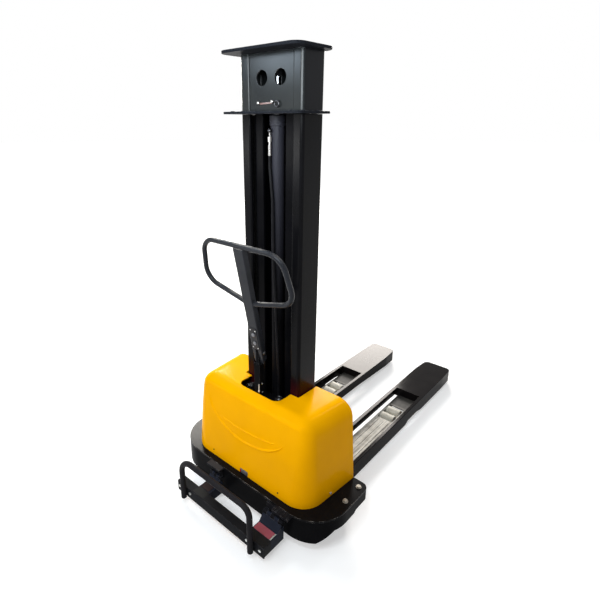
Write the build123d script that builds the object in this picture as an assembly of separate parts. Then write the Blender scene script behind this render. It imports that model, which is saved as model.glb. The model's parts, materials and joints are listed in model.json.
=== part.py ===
import os

from build123d import *

# Driving dimensions in millimetres. Y is counted from the rear face of the mast, Z from the floor.
MAST_Y = -511.0
MAST_HALF_WIDTH = 146.0
MAST_DEPTH = 115.0
MAST_LIP = 45.0
MAST_FLANGE = 15.0
MAST_WEB = 9.0
MAST_FOOT = 14.0
MAST_TOP = 1599.0
INNER_OUT = 94.0
INNER_IN = 54.0
INNER_REAR = 20.0
INNER_FRONT = 108.0
INNER_FOOT = 45.0
SHELF_Z = 462.0
SHELF_THICK = 6.0
KNOB_RADIUS = 18.0
KNOB_X = 79.0
KNOB_Y = -42.0
KNOB_TOP = 504.0
FLANGE_BOTTOM = 1600.0
FLANGE_TOP = 1608.0
HEAD_TOP = 1797.0
ROD_TOP = 1722.0
TOP_PLATE_THICK = 10.0
PLATE_HALF_WIDTH = 182.0
PLATE_REAR = -75.0
PLATE_FRONT = 130.0
PLATE_CORNER = 40.0
CYLINDER_Y = 40.0
BARREL_RADIUS = 25.0
BORE_RADIUS = 20.0
ROD_RADIUS = 15.0
ROD_HEAD_RADIUS = 18.0
HOSE_RADIUS = 6.0
HOSE_BEND = 48.0
HOSE_X = -10.0
HOSE_Y = 9.0
HOSE_TOP = 1458.0
DECK_HALF_WIDTH = 432.0
DECK_REAR = -207.0
DECK_FRONT = 118.0
DECK_REAR_CORNER = 161.0
DECK_FRONT_CORNER = 30.0
DECK_TOP = 160.0
DECK_THICK = 8.0
SKIRT_THICK = 6.0
COVER_WALL = 5.0
COVER_TOP = 521.0
COVER_FRONT = 114.0
FORK_OUT = 280.0
FORK_IN = 103.0
FORK_RAIL = 18.0
FORK_EDGE = 3.0
FORK_TOP = 88.0
FORK_BOTTOM = 14.0
FORK_HEEL = 140.0
FORK_TIP = 1380.0
HEEL_STEP = 2.0
HEEL_END = 238.0
SLOT_START = 190.0
SLOT_END = 966.0
LEG_OUT = 246.0
LEG_IN = 138.0
LEG_TOP = 50.0
LEG_TIP = 955.0
ROLLER_RADIUS = 30.0
ROLLER_YS = (732.0, 800.0)
FORK_ROLLER_RADIUS = 34.0
FORK_ROLLER_Y = 1225.0
FORK_ROLLER_Z = 46.0
GUIDE_RADIUS = 42.0
GUIDE_ZS = (110.0, 390.0)
PIVOT_Y = -72.0
PIVOT_Z = 705.0
HANDLE_LEAN = 11.8
TUBE_RADIUS = 10.0
HINGE_Y = -223.0
HINGE_Z = 112.0
LUG_SPANS = ((-174.0, -93.0), (211.0, 291.0))
LUG_REAR = -236.0
LUG_TOP = 158.0
ARM_TOP = 78.0
ARM_SPANS = ((-161.0, -95.0), (160.0, 258.0))
FRAME_REAR = -334.0
BAR_SPAN = (-261.0, 260.0)
FRAME_TUBE_RADIUS = 12.0
TUBE_LEGS = (-204.0, 201.0)
TUBE_TOP = 236.0
TUBE_BEND = 40.0
CASTER_X = 363.0
CASTER_Y = 34.0
CASTER_TRAIL = 30.0
WHEEL_RADIUS = 45.0
RUN_GAP = 0.05


# Shape helpers
def block(x, y, z):
    size = (x[1] - x[0], y[1] - y[0], z[1] - z[0])
    middle = ((x[0] + x[1]) / 2, (y[0] + y[1]) / 2, (z[0] + z[1]) / 2)
    return Pos(*middle) * Box(*size)


def round_x(radius, x, y, z):
    return Pos((x[0] + x[1]) / 2, y, z) * Rot(0, 90, 0) * Cylinder(radius, x[1] - x[0])


def round_y(radius, x, y, z):
    return Pos(x, (y[0] + y[1]) / 2, z) * Rot(90, 0, 0) * Cylinder(radius, y[1] - y[0])


def round_z(radius, x, y, z):
    return Pos(x, y, (z[0] + z[1]) / 2) * Cylinder(radius, z[1] - z[0])


def ring_x(radius, hole, x, y, z):
    return round_x(radius, x, y, z) - round_x(hole, (x[0] - 1, x[1] + 1), y, z)


def ring_z(radius, hole, x, y, z):
    return round_z(radius, x, y, z) - round_z(hole, x, y, (z[0] - 1, z[1] + 1))


def other_side(part):
    return mirror(part, about=Plane.YZ)


def both(part):
    return part + other_side(part)


def outline(points, radii):
    face = make_face(Polyline(*points, close=True))
    for point, radius in zip(points, radii):
        if radius:
            corner = face.vertices().sort_by_distance((point[0], point[1], 0))[0]
            face = fillet(corner, radius)
    return face


def plate(face, z):
    return extrude(Pos(0, 0, z[0]) * face, amount=z[1] - z[0])


def pipe(points, radius, bend):
    path = FilletPolyline(*points, radius=bend)
    start = Plane(origin=path @ 0, z_dir=path % 0)
    return sweep(start * Circle(radius), path)


def side_shape(points, x):
    face = make_face(Polyline(*[(0, y, z) for y, z in points], close=True))
    return Pos(x[0], 0, 0) * extrude(face, amount=x[1] - x[0], dir=(1, 0, 0))


def hex_bolt_z(x, y, z, across, height):
    return plate(Pos(x, y) * RegularPolygon(across / 2, 6, major_radius=False), (z, z + height))


nodes = {}

# Deck and skirt of the chassis
deck_points = [
    (-DECK_HALF_WIDTH, DECK_FRONT),
    (DECK_HALF_WIDTH, DECK_FRONT),
    (DECK_HALF_WIDTH, DECK_REAR),
    (-DECK_HALF_WIDTH, DECK_REAR),
]
deck_radii = (DECK_FRONT_CORNER, DECK_FRONT_CORNER, DECK_REAR_CORNER, DECK_REAR_CORNER)
deck_face = outline(deck_points, deck_radii)
mast_notch = block((-MAST_HALF_WIDTH, MAST_HALF_WIDTH), (0, DECK_FRONT + 10), (0, 400))
caster_bolts = [(CASTER_X + dx, CASTER_Y + dy) for dx in (-40, 40) for dy in (-49, 49)]
deck = plate(deck_face, (DECK_TOP - DECK_THICK, DECK_TOP))
deck = fillet(deck.edges().group_by(Axis.Z)[-1], 2) - mast_notch
for x, y in caster_bolts:
    deck -= both(round_z(5, x, y, (DECK_TOP - 20, DECK_TOP + 5)))
nodes["deck"] = deck

skirt_face = deck_face - offset(deck_face, amount=-SKIRT_THICK)
skirt = plate(skirt_face, (20, DECK_TOP - DECK_THICK))
skirt_cut = [(-230, 0), (-230, 50), (-168, 50), (-108, 99), (10, 99), (22, 108), (140, 108), (140, 0)]
skirt -= side_shape(skirt_cut, (-500, 500))
nodes["skirt"] = skirt - block((-260, 260), (60, 140), (0, 200))

bolts = Part()
for x, y in caster_bolts:
    shank = round_z(5, x, y, (136, DECK_TOP))
    washer = round_z(11, x, y, (DECK_TOP, DECK_TOP + 1.5))
    bolts += both(shank + washer + hex_bolt_z(x, y, DECK_TOP + 1.5, 16, 6))
nodes["deck_bolts"] = bolts

# Fixed mast, its ties and the lift cylinder
rail_points = [
    (MAST_HALF_WIDTH, 0),
    (MAST_HALF_WIDTH, MAST_DEPTH),
    (MAST_HALF_WIDTH - MAST_LIP, MAST_DEPTH),
    (MAST_HALF_WIDTH - MAST_LIP, MAST_DEPTH - MAST_FLANGE),
    (MAST_HALF_WIDTH - MAST_WEB, MAST_DEPTH - MAST_FLANGE),
    (MAST_HALF_WIDTH - MAST_WEB, MAST_FLANGE),
    (MAST_HALF_WIDTH - MAST_LIP, MAST_FLANGE),
    (MAST_HALF_WIDTH - MAST_LIP, 0),
]
rail_face = outline(rail_points, (9, 9, 5, 3, 6, 6, 3, 5))
mast_rail = plate(rail_face, (MAST_FOOT, MAST_TOP))
nodes["mast_rail_right"] = mast_rail
nodes["mast_rail_left"] = other_side(mast_rail)

tie_inner = MAST_HALF_WIDTH - MAST_LIP
foot_tie = block((-tie_inner, tie_inner), (4, MAST_DEPTH - 4), (MAST_FOOT, 30))
rear_tie = block((-MAST_HALF_WIDTH, MAST_HALF_WIDTH), (-10, 0), (215, SHELF_Z))
shelf = block((-108, 108), (-88, 0), (SHELF_Z, SHELF_Z + SHELF_THICK))
shelf -= block((-17, 17), (-90, -58), (SHELF_Z - 5, SHELF_Z + 10))
knob = round_z(KNOB_RADIUS, KNOB_X, KNOB_Y, (SHELF_Z + SHELF_THICK, KNOB_TOP))
knob = fillet(knob.edges().filter_by(lambda e: e.center().Z > KNOB_TOP - 1), 5)
shelf += both(knob)
nodes["mast_ties"] = foot_tie + rear_tie + shelf

barrel = ring_z(BARREL_RADIUS, BORE_RADIUS, 0, CYLINDER_Y, (46, 1560))
barrel += round_z(BARREL_RADIUS, 0, CYLINDER_Y, (30, 46))
nodes["cylinder_barrel"] = barrel
gland = ring_z(29, ROD_RADIUS + RUN_GAP, 0, CYLINDER_Y, (1560, MAST_TOP))
nodes["cylinder_gland"] = gland

port = round_y(7, HOSE_X, (HOSE_Y, CYLINDER_Y), 1545)
elbow = Pos(HOSE_X, HOSE_Y, 1545) * Sphere(8)
fitting = port + elbow + round_z(3, HOSE_X, HOSE_Y, (1524, 1545))
fitting += hex_bolt_z(HOSE_X, HOSE_Y, 1506, 13, 18)
fitting += round_z(5, HOSE_X, HOSE_Y, (1496, 1506))
fitting += round_z(6.5, HOSE_X, HOSE_Y, (HOSE_TOP, 1496))
nodes["hose_fitting"] = fitting - round_z(BARREL_RADIUS, 0, CYLINDER_Y, (1500, 1580))
hose_points = [
    (HOSE_X, HOSE_Y, HOSE_TOP),
    (HOSE_X, HOSE_Y, HOSE_TOP - 40),
    (5, 7, 1290),
    (8, 7, 1080),
    (34, 7, 560),
    (34, 7, 172),
    (34, -92, 172),
    (85, -92, 172),
]
hose = pipe(hose_points, HOSE_RADIUS, HOSE_BEND)
nodes["hose"] = hose

# Battery and power unit inside the cover
battery = fillet(block((-270, -60), (-142, -20), (DECK_TOP, 380)).edges(), 6)
nodes["battery"] = battery + round_z(8, -230, -80, (379, 396)) + round_z(8, -100, -80, (379, 396))
pump_block = block((70, 150), (-105, -20), (DECK_TOP, 226)) - hose
motor = round_z(46, 120, -80, (226, 380))
tank = fillet(block((178, 262), (-138, 60), (DECK_TOP, 330)).edges(), 8)
pump_bridge = block((150, 178), (-80, -40), (175, 215))
nodes["power_unit"] = pump_block + motor + tank + pump_bridge

# Moulded cover: levels as height, how far the sides and the rear have drawn in, and corner radius
COVER_LEVELS = [
    (DECK_TOP + 1, 0, 0, 80),
    (440, 0, 0, 76),
    (468, 2.2, 0, 74),
    (486, 7.6, 0, 72),
    (497, 14, 1.2, 68),
    (505, 21.5, 14, 64),
    (511, 29.5, 23.5, 60),
    (516.5, 39, 32, 56),
    (519.5, 52, 40, 50),
    (COVER_TOP, 64, 50, 44),
]


def cover_section(z, side, rear, radius):
    rise = (z - DECK_TOP) / (COVER_TOP - DECK_TOP)
    front_x = 358 - 26 * rise - side
    rear_x = 330 - 24 * rise - side
    rear_y = -180 + 44 * rise + rear
    points = [(-front_x, COVER_FRONT), (front_x, COVER_FRONT), (rear_x, rear_y), (-rear_x, rear_y)]
    return outline(points, (0, 0, radius, radius))


skin_sections = []
core_sections = []
for z, side, rear, radius in COVER_LEVELS:
    section = cover_section(z, side, rear, radius)
    drop = COVER_WALL if z > DECK_TOP + 2 else 2
    skin_sections.append(Pos(0, 0, z) * section)
    core_sections.append(Pos(0, 0, z - drop) * offset(section, amount=-COVER_WALL))
cover_skin = loft(skin_sections, ruled=True)
cover_core = loft(core_sections, ruled=True)
rear_wall = Plane(origin=(0, -180, DECK_TOP), x_dir=(1, 0, 0), z_dir=(0, -361, 44))


def crescent(half_width, height, low, deep, rise):
    """A rib between two arcs on the rear wall, thin at its ends."""
    ends = ((-half_width, height), (half_width, height))
    lower = ThreePointArc(ends[0], (0, low), ends[1])
    upper = ThreePointArc(ends[1], (0, low + deep), ends[0])
    face = make_face([lower, upper])
    return extrude(rear_wall * Pos(0, 0, -2) * face, amount=rise + 2, dir=rear_wall.z_dir)


stem_gap = outline([(-112, 20), (112, 20), (112, -92), (-112, -92)], (0, 0, 34, 34))
mast_gap = outline([(-152, 130), (152, 130), (152, -6), (-152, -6)], (0, 0, 8, 8))
cover_skin += crescent(222, 270, 128, 12, 3.5) + crescent(146, 215, 170, 4, 1.5)
cover = cover_skin - cover_core - plate(stem_gap, (400, 600)) - plate(mast_gap, (100, 600))
nodes["cover"] = cover - block((-24, 24), (-200, -150), (150, 182))

socket_body = block((-23, 23), (-178, -140), (DECK_TOP, 181))
socket_face = block((-15, 19), (-181, -178), (163, 178))
nodes["charge_socket"] = socket_body + socket_face
nodes["charge_lamp"] = block((-22, -17), (-181, -178), (164, 177))

# Handle stem standing on the deck
stem = block((-15, 15), (PIVOT_Y - 16, PIVOT_Y + 10), (DECK_TOP, PIVOT_Z - 52))
tongue = block((-8, 8), (PIVOT_Y - 12, PIVOT_Y + 10), (PIVOT_Z - 52, PIVOT_Z))
tongue += round_x(12, (-8, 8), PIVOT_Y, PIVOT_Z)
tongue -= round_x(6 + RUN_GAP, (-10, 10), PIVOT_Y, PIVOT_Z)
foot = block((-40, 40), (PIVOT_Y - 32, PIVOT_Y - 16), (DECK_TOP, DECK_TOP + 10))
nodes["handle_stem"] = stem + tongue + foot

# Support legs with their roller axles
leg_points = [(30, 14), (30, LEG_TOP), (LEG_TIP, LEG_TOP), (LEG_TIP, 40), (LEG_TIP - 40, 14)]
leg = side_shape(leg_points, (LEG_IN, LEG_OUT))
leg -= block((LEG_IN + 6, LEG_OUT - 6), (20, LEG_TIP - 46), (0, LEG_TOP - 6))
leg -= block((LEG_IN + 12, LEG_OUT - 12), (ROLLER_YS[0] - 38, ROLLER_YS[1] + 38), (30, 60))
for rib_x in (LEG_IN + 24, LEG_IN + 54, LEG_IN + 84):
    leg += block((rib_x - 6, rib_x + 6), (150, 670), (LEG_TOP, LEG_TOP + 2))
leg_root = block((LEG_IN + 9, LEG_OUT), (30, 110), (LEG_TOP, DECK_TOP - DECK_THICK))
leg += leg_root
for y in ROLLER_YS:
    leg -= round_x(7, (100, 300), y, ROLLER_RADIUS)
leg -= block((0, MAST_HALF_WIDTH), (0, MAST_DEPTH), (0, 200))
nodes["legs"] = both(leg)

bracket = Part()
for y in ROLLER_YS:
    for x in (LEG_IN + 6, LEG_OUT - 14):
        ear = block((x, x + 8), (y - 15, y + 15), (16, 44))
        bracket += ear - round_x(7, (100, 300), y, ROLLER_RADIUS)
nodes["leg_brackets"] = both(bracket)

axles = Part()
for y in ROLLER_YS:
    axles += both(round_x(7, (LEG_IN, LEG_OUT), y, ROLLER_RADIUS))
nodes["leg_axles"] = axles


def roller(radius, hole, x, y, z):
    body = round_x(radius, x, y, z)
    rims = body.edges().filter_by(GeomType.CIRCLE)
    return fillet(rims, 3) - round_x(hole, (x[0] - 1, x[1] + 1), y, z)


for label, y in (("rear", ROLLER_YS[0]), ("front", ROLLER_YS[1])):
    leg_roller = roller(ROLLER_RADIUS, 7 + RUN_GAP, (LEG_IN + 15, LEG_OUT - 15), y, ROLLER_RADIUS)
    nodes["leg_roller_right_" + label] = leg_roller
    nodes["leg_roller_left_" + label] = other_side(leg_roller)

# Sliding mast with its head, guide roller studs and piston rod
inner_points = [
    (INNER_OUT, INNER_REAR),
    (INNER_OUT, INNER_FRONT),
    (INNER_IN, INNER_FRONT),
    (INNER_IN, INNER_FRONT - 12),
    (INNER_OUT - 9, INNER_FRONT - 12),
    (INNER_OUT - 9, INNER_REAR + 12),
    (INNER_IN, INNER_REAR + 12),
    (INNER_IN, INNER_REAR),
]
inner_face = outline(inner_points, (4, 4, 3, 2, 5, 5, 2, 3))
inner = plate(inner_face, (INNER_FOOT, FLANGE_BOTTOM))
guide_y = MAST_DEPTH / 2
for z in GUIDE_ZS:
    inner += round_x(10, (INNER_OUT, 134.5), guide_y, z)
front_web = block((-INNER_IN, INNER_IN), (INNER_FRONT - 6, INNER_FRONT), (INNER_FOOT, FLANGE_BOTTOM))
nodes["inner_rails"] = both(inner) + front_web

for label, z in (("low", GUIDE_ZS[0]), ("high", GUIDE_ZS[1])):
    guide = roller(GUIDE_RADIUS, 10 + RUN_GAP, (105, 134), guide_y, z)
    nodes["guide_roller_right_" + label] = guide
    nodes["guide_roller_left_" + label] = other_side(guide)

plate_points = [
    (-PLATE_HALF_WIDTH, PLATE_FRONT),
    (PLATE_HALF_WIDTH, PLATE_FRONT),
    (PLATE_HALF_WIDTH, PLATE_REAR),
    (-PLATE_HALF_WIDTH, PLATE_REAR),
]
plate_face = outline(plate_points, (PLATE_CORNER,) * 4)
flange = plate(plate_face, (FLANGE_BOTTOM, FLANGE_TOP))
nodes["flange_plate"] = flange - round_z(22, 0, CYLINDER_Y, (1500, 1700))
top_plate = plate(plate_face, (HEAD_TOP, HEAD_TOP + TOP_PLATE_THICK))
top_plate = fillet(top_plate.edges().filter_by(lambda e: e.center().Z > HEAD_TOP + 9), 3)
nodes["top_plate"] = top_plate

head_rail = plate(rail_face, (FLANGE_TOP, HEAD_TOP))
nodes["head_rails"] = both(head_rail)
head_plate = block((-tie_inner, tie_inner), (5, 11), (FLANGE_TOP, HEAD_TOP))
for x in (-43, 43):
    head_plate -= round_y(26, x, (0, 20), 1717)
front_plate = block((-130, 130), (MAST_DEPTH, MAST_DEPTH + 6), (1650, HEAD_TOP))
nodes["head_plate"] = head_plate + front_plate

clamp = block((-50, 50), (-1, 5), (1622, 1640))
for x in (-36, 6, 36):
    clamp += round_y(6, x, (-9, -1), 1631)
nodes["head_clamp"] = clamp

flange_bolts = Part()
for x in (110, 165):
    for y in (-22, 58):
        if x > 150 or y < 0:
            flange_bolts += both(hex_bolt_z(x, y, FLANGE_TOP, 14, 3))
nodes["flange_bolts"] = flange_bolts

rod = round_z(ROD_RADIUS, 0, CYLINDER_Y, (330, ROD_TOP))
rod += round_z(ROD_HEAD_RADIUS, 0, CYLINDER_Y, (ROD_TOP, HEAD_TOP))
rod += round_z(BORE_RADIUS - RUN_GAP, 0, CYLINDER_Y, (300, 330))
nodes["piston_rod"] = rod

# Carriage and forks
CARRIAGE_TOP = 330.0
carriage = block((-FORK_OUT, FORK_OUT), (124, FORK_HEEL), (60, CARRIAGE_TOP))
carriage -= block((-60, 60), (110, 150), (150, 280))
carriage += both(block((INNER_IN, INNER_OUT), (INNER_FRONT, 124), (60, CARRIAGE_TOP)))
heel_top = FORK_TOP - HEEL_STEP
gusset = [(FORK_HEEL, heel_top), (FORK_HEEL, 300), (FORK_HEEL + 16, 300), (FORK_HEEL + 95, heel_top)]
carriage += both(side_shape(gusset, (FORK_OUT - 14, FORK_OUT)) + side_shape(gusset, (FORK_IN, FORK_IN + 14)))
nodes["carriage"] = carriage

fork_points = [
    (FORK_IN, FORK_HEEL),
    (FORK_OUT, FORK_HEEL),
    (FORK_OUT, 1250),
    (FORK_OUT - 4, FORK_TIP),
    (FORK_IN + 10, FORK_TIP),
    (FORK_IN, 1250),
]
fork = plate(outline(fork_points, (0, 0, 60, 28, 34, 60)), (FORK_BOTTOM, FORK_TOP))
fork = fillet(fork.edges().group_by(Axis.Z)[-1], FORK_EDGE)
fork_under = [
    (FORK_HEEL - 10, 0),
    (FORK_HEEL - 10, 60),
    (SLOT_START + 20, 60),
    (SLOT_START + 20, FORK_BOTTOM),
    (770, FORK_BOTTOM),
    (800, 28),
    (900, 28),
    (960, FORK_BOTTOM + 2),
    (1320, FORK_BOTTOM + 2),
    (1358, 22),
    (FORK_TIP + 2, 36),
    (FORK_TIP + 2, 0),
]
fork -= side_shape(fork_under, (0, 400))
fork -= block((0, 400), (FORK_HEEL - 10, HEEL_END), (heel_top, FORK_TOP + 10))
slot_x = (FORK_IN + FORK_RAIL, FORK_OUT - FORK_RAIL)
fork -= block(slot_x, (SLOT_START, SLOT_END), (0, 200))
web_x = (FORK_IN + 9, FORK_OUT - 9)
fork -= block(web_x, (SLOT_START + 20, SLOT_END), (0, FORK_TOP - 9))
fork -= block(web_x, (SLOT_END + 9, 1300), (0, FORK_TOP - 7))
axle_x = (FORK_IN + 4, FORK_OUT - 4)
fork_axle = round_x(8, axle_x, FORK_ROLLER_Y, FORK_ROLLER_Z)
fork -= fork_axle
nodes["fork_right"] = fork
nodes["fork_left"] = other_side(fork)
nodes["fork_axles"] = both(fork_axle)
roller_x = (FORK_IN + 30, FORK_OUT - 30)
fork_roller = roller(FORK_ROLLER_RADIUS, 8 + RUN_GAP, roller_x, FORK_ROLLER_Y, FORK_ROLLER_Z)
nodes["fork_roller_right"] = fork_roller
nodes["fork_roller_left"] = other_side(fork_roller)

# Tilting handle, drawn upright about its pivot and then leaned back
handle_place = Pos(0, PIVOT_Y, PIVOT_Z) * Rot(HANDLE_LEAN, 0, 0)
POST_HALF = 25.0
POST_DEPTH = 12.5
POST_WALL = 3.0
loop_points = [
    (20, 0, 226),
    (236, 0, 281),
    (200, 0, 462),
    (-200, 0, 462),
    (-236, 0, 281),
    (-20, 0, 226),
]
loop = pipe(loop_points, TUBE_RADIUS, 46)
post_core = block((-POST_HALF, POST_HALF), (-POST_DEPTH, POST_DEPTH), (-48, 456))
loop -= block((-POST_HALF, POST_HALF), (-POST_DEPTH, POST_DEPTH), (-48, 420))
post = fillet(post_core.edges().filter_by(Axis.Z), 3)
post -= block((-8.5, 8.5), (-20, 20), (-60, 15))
post -= side_shape([(-20, -56), (20, -56), (20, -20)], (-40, 40))
post -= round_x(6, (-40, 40), 0, 0)
post -= block((-13, 13), (-POST_DEPTH - 1, POST_DEPTH - POST_WALL), (24, 110))
hollow_x = (POST_WALL - POST_HALF, POST_HALF - POST_WALL)
hollow_y = (POST_WALL - POST_DEPTH, POST_DEPTH - POST_WALL)
post -= block(hollow_x, hollow_y, (18, 440))
post -= loop
nodes["handle_post"] = handle_place * post
nodes["handle_loop"] = handle_place * loop
BUTTON_SS = (87.0, 47.0)
button_plate = block((-18, 18), (-POST_DEPTH - 2, -POST_DEPTH), (16, 118))
button_plate = fillet(button_plate.edges().filter_by(Axis.Y), 4)
for s in BUTTON_SS:
    button_plate -= round_y(8.3, 0, (-20, 0), s)
nodes["button_plate"] = handle_place * button_plate
screws = Part()
for x in (-13, 13):
    for s in (25.5, 107.5):
        screws += round_y(2.6, x, (-POST_DEPTH - 3.4, -POST_DEPTH - 2), s)
pivot_bolt = round_x(6, (-POST_HALF, POST_HALF), 0, 0)
pivot_bolt += round_x(9, (POST_HALF, POST_HALF + 6), 0, 0) + round_x(9, (-POST_HALF - 6, -POST_HALF), 0, 0)
nodes["handle_screws"] = handle_place * (screws + pivot_bolt)
for label, s in (("up", BUTTON_SS[0]), ("down", BUTTON_SS[1])):
    button = round_y(8, 0, (-POST_DEPTH - 6, -POST_DEPTH + 6), s)
    rim = button.edges().filter_by(lambda e: e.center().Y < -POST_DEPTH - 5)
    nodes["button_" + label] = handle_place * fillet(rim, 1.5)

# Hinged rear frame
KNUCKLE = 8.0
ARM_THICK = 6.0
ARM_FOOT = 30.0
slope_points = [
    (HINGE_Y - 31.4, ARM_TOP),
    (HINGE_Y - 31.4, ARM_TOP - ARM_THICK),
    (HINGE_Y - 28.6, ARM_TOP - ARM_THICK),
    (HINGE_Y - 4, HINGE_Z - 9.7),
    (HINGE_Y - 8.6, HINGE_Z - 5.9),
]
tab_points = [
    (HINGE_Y - 10.5, HINGE_Z - 8.2),
    (HINGE_Y - 5.9, HINGE_Z - 12),
    (HINGE_Y + 2.3, HINGE_Z - 1.9),
    (HINGE_Y - 2.3, HINGE_Z + 1.9),
]
cheek_points = [
    (FRAME_REAR + ARM_THICK, ARM_FOOT),
    (FRAME_REAR + ARM_THICK, ARM_TOP - ARM_THICK),
    (HINGE_Y - 28.6, ARM_TOP - ARM_THICK),
    (HINGE_Y - 13.9, HINGE_Z - 21.9),
    (HINGE_Y + 5, HINGE_Z - 21.9),
    (HINGE_Y + 5, ARM_FOOT),
]
leaves = Part()
arms = Part()
for low, high in ARM_SPANS:
    step = (high - low) / 5
    leaf = block((low + 4, high - 4), (DECK_REAR - 6, DECK_REAR), (HINGE_Z - 10, LUG_TOP - 8))
    for k in (0, 2, 4):
        span = (low + k * step + 0.4, low + (k + 1) * step - 0.4)
        web = block(span, (HINGE_Y, DECK_REAR - 6), (HINGE_Z - KNUCKLE, HINGE_Z + KNUCKLE))
        web += round_x(KNUCKLE, span, HINGE_Y, HINGE_Z)
        leaf += web - round_x(4, (span[0] - 1, span[1] + 1), HINGE_Y, HINGE_Z)
    leaves += leaf + round_x(4, (low - 2, high + 2), HINGE_Y, HINGE_Z)
    arm = block((low, high), (FRAME_REAR + ARM_THICK, HINGE_Y - 31.4), (ARM_TOP - ARM_THICK, ARM_TOP))
    arm += side_shape(slope_points, (low, high)) + side_shape(cheek_points, (high - ARM_THICK, high))
    for k in (1, 3):
        span = (low + k * step + 0.4, low + (k + 1) * step - 0.4)
        tab = side_shape(tab_points, span) + round_x(KNUCKLE, span, HINGE_Y, HINGE_Z)
        arm += tab - round_x(4 + RUN_GAP, (span[0] - 1, span[1] + 1), HINGE_Y, HINGE_Z)
    arms += arm
for span in LUG_SPANS:
    lug = block(span, (LUG_REAR, DECK_REAR + 6), (LUG_TOP - 8, LUG_TOP))
    leaves += lug - plate(deck_face, (0, DECK_TOP + 10))
nodes["hinge_leaves"] = leaves
nodes["frame_arms"] = arms

bar_top = block(BAR_SPAN, (FRAME_REAR + 6, FRAME_REAR + 38), (ARM_TOP - ARM_THICK, ARM_TOP))
for span in ARM_SPANS:
    bar_top -= block(span, (FRAME_REAR, FRAME_REAR + 60), (ARM_TOP - 10, ARM_TOP + 10))
bar_rear = block(BAR_SPAN, (FRAME_REAR, FRAME_REAR + 6), (28, ARM_TOP))
bar_end = block((BAR_SPAN[0], BAR_SPAN[0] + 6), (FRAME_REAR + 6, FRAME_REAR + 38), (36, ARM_TOP - ARM_THICK))
nodes["frame_bar"] = bar_rear + bar_top + bar_end

tube_y = FRAME_REAR - FRAME_TUBE_RADIUS
tube_points = [
    (TUBE_LEGS[0], tube_y, 30),
    (TUBE_LEGS[0], tube_y, TUBE_TOP),
    (TUBE_LEGS[1], tube_y, TUBE_TOP),
    (TUBE_LEGS[1], tube_y, 30),
]
nodes["frame_tube"] = pipe(tube_points, FRAME_TUBE_RADIUS, TUBE_BEND)

frame_bolts = Part()
for x in (-244, -174, 172, 242):
    frame_bolts += round_y(6, x, (FRAME_REAR - 4, FRAME_REAR), 58)
nodes["frame_bolts"] = frame_bolts
treads = Part()
for low, high in ARM_SPANS:
    treads += block((low + 4, high - 10), (-290, HINGE_Y - 33), (ARM_TOP, ARM_TOP + 2))
nodes["frame_treads"] = treads

# Swivel casters under the deck
plate_top = DECK_TOP - DECK_THICK
caster_plate = block((CASTER_X - 54, CASTER_X + 54), (CASTER_Y - 62, CASTER_Y + 62), (144, plate_top))
caster_plate = fillet(caster_plate.edges().filter_by(Axis.Z), 10)
caster_plate -= round_z(8 + RUN_GAP, CASTER_X, CASTER_Y, (100, 150))
for x, y in caster_bolts:
    caster_plate -= round_z(5, x, y, (100, 200))
nodes["caster_plates"] = both(caster_plate)

wheel_y = CASTER_Y - CASTER_TRAIL
yoke = round_z(34, CASTER_X, CASTER_Y, (128, 143.5)) + round_z(8, CASTER_X, CASTER_Y, (143.5, 149))
yoke += block((CASTER_X - 30, CASTER_X + 30), (CASTER_Y - 46, CASTER_Y + 26), (118, 128))
yoke_cheek = [
    (CASTER_Y - 46, 118),
    (CASTER_Y + 26, 118),
    (wheel_y + 16, WHEEL_RADIUS - 8),
    (wheel_y, WHEEL_RADIUS - 16),
    (wheel_y - 16, WHEEL_RADIUS - 8),
]
yoke += side_shape(yoke_cheek, (CASTER_X - 30, CASTER_X - 24))
yoke += side_shape(yoke_cheek, (CASTER_X + 24, CASTER_X + 30))
yoke += round_x(6, (CASTER_X - 36, CASTER_X + 36), wheel_y, WHEEL_RADIUS)
nodes["caster_yoke_right"] = yoke
nodes["caster_yoke_left"] = other_side(yoke)
hub = round_x(30, (CASTER_X - 18, CASTER_X + 18), wheel_y, WHEEL_RADIUS)
hub -= ring_x(24, 14, (CASTER_X - 19, CASTER_X - 12), wheel_y, WHEEL_RADIUS)
hub -= ring_x(24, 14, (CASTER_X + 12, CASTER_X + 19), wheel_y, WHEEL_RADIUS)
hub -= round_x(6 + RUN_GAP, (CASTER_X - 40, CASTER_X + 40), wheel_y, WHEEL_RADIUS)
nodes["caster_hub_right"] = hub
nodes["caster_hub_left"] = other_side(hub)
tyre = round_x(WHEEL_RADIUS, (CASTER_X - 20, CASTER_X + 20), wheel_y, WHEEL_RADIUS)
tyre = fillet(tyre.edges().filter_by(GeomType.CIRCLE), 6)
tyre -= round_x(30, (CASTER_X - 30, CASTER_X + 30), wheel_y, WHEEL_RADIUS)
nodes["caster_tyre_right"] = tyre
nodes["caster_tyre_left"] = other_side(tyre)

os.makedirs("parts", exist_ok=True)
for name, part in nodes.items():
    export_step(Pos(0, MAST_Y, 0) * part, "parts/" + name + ".step")
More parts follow.
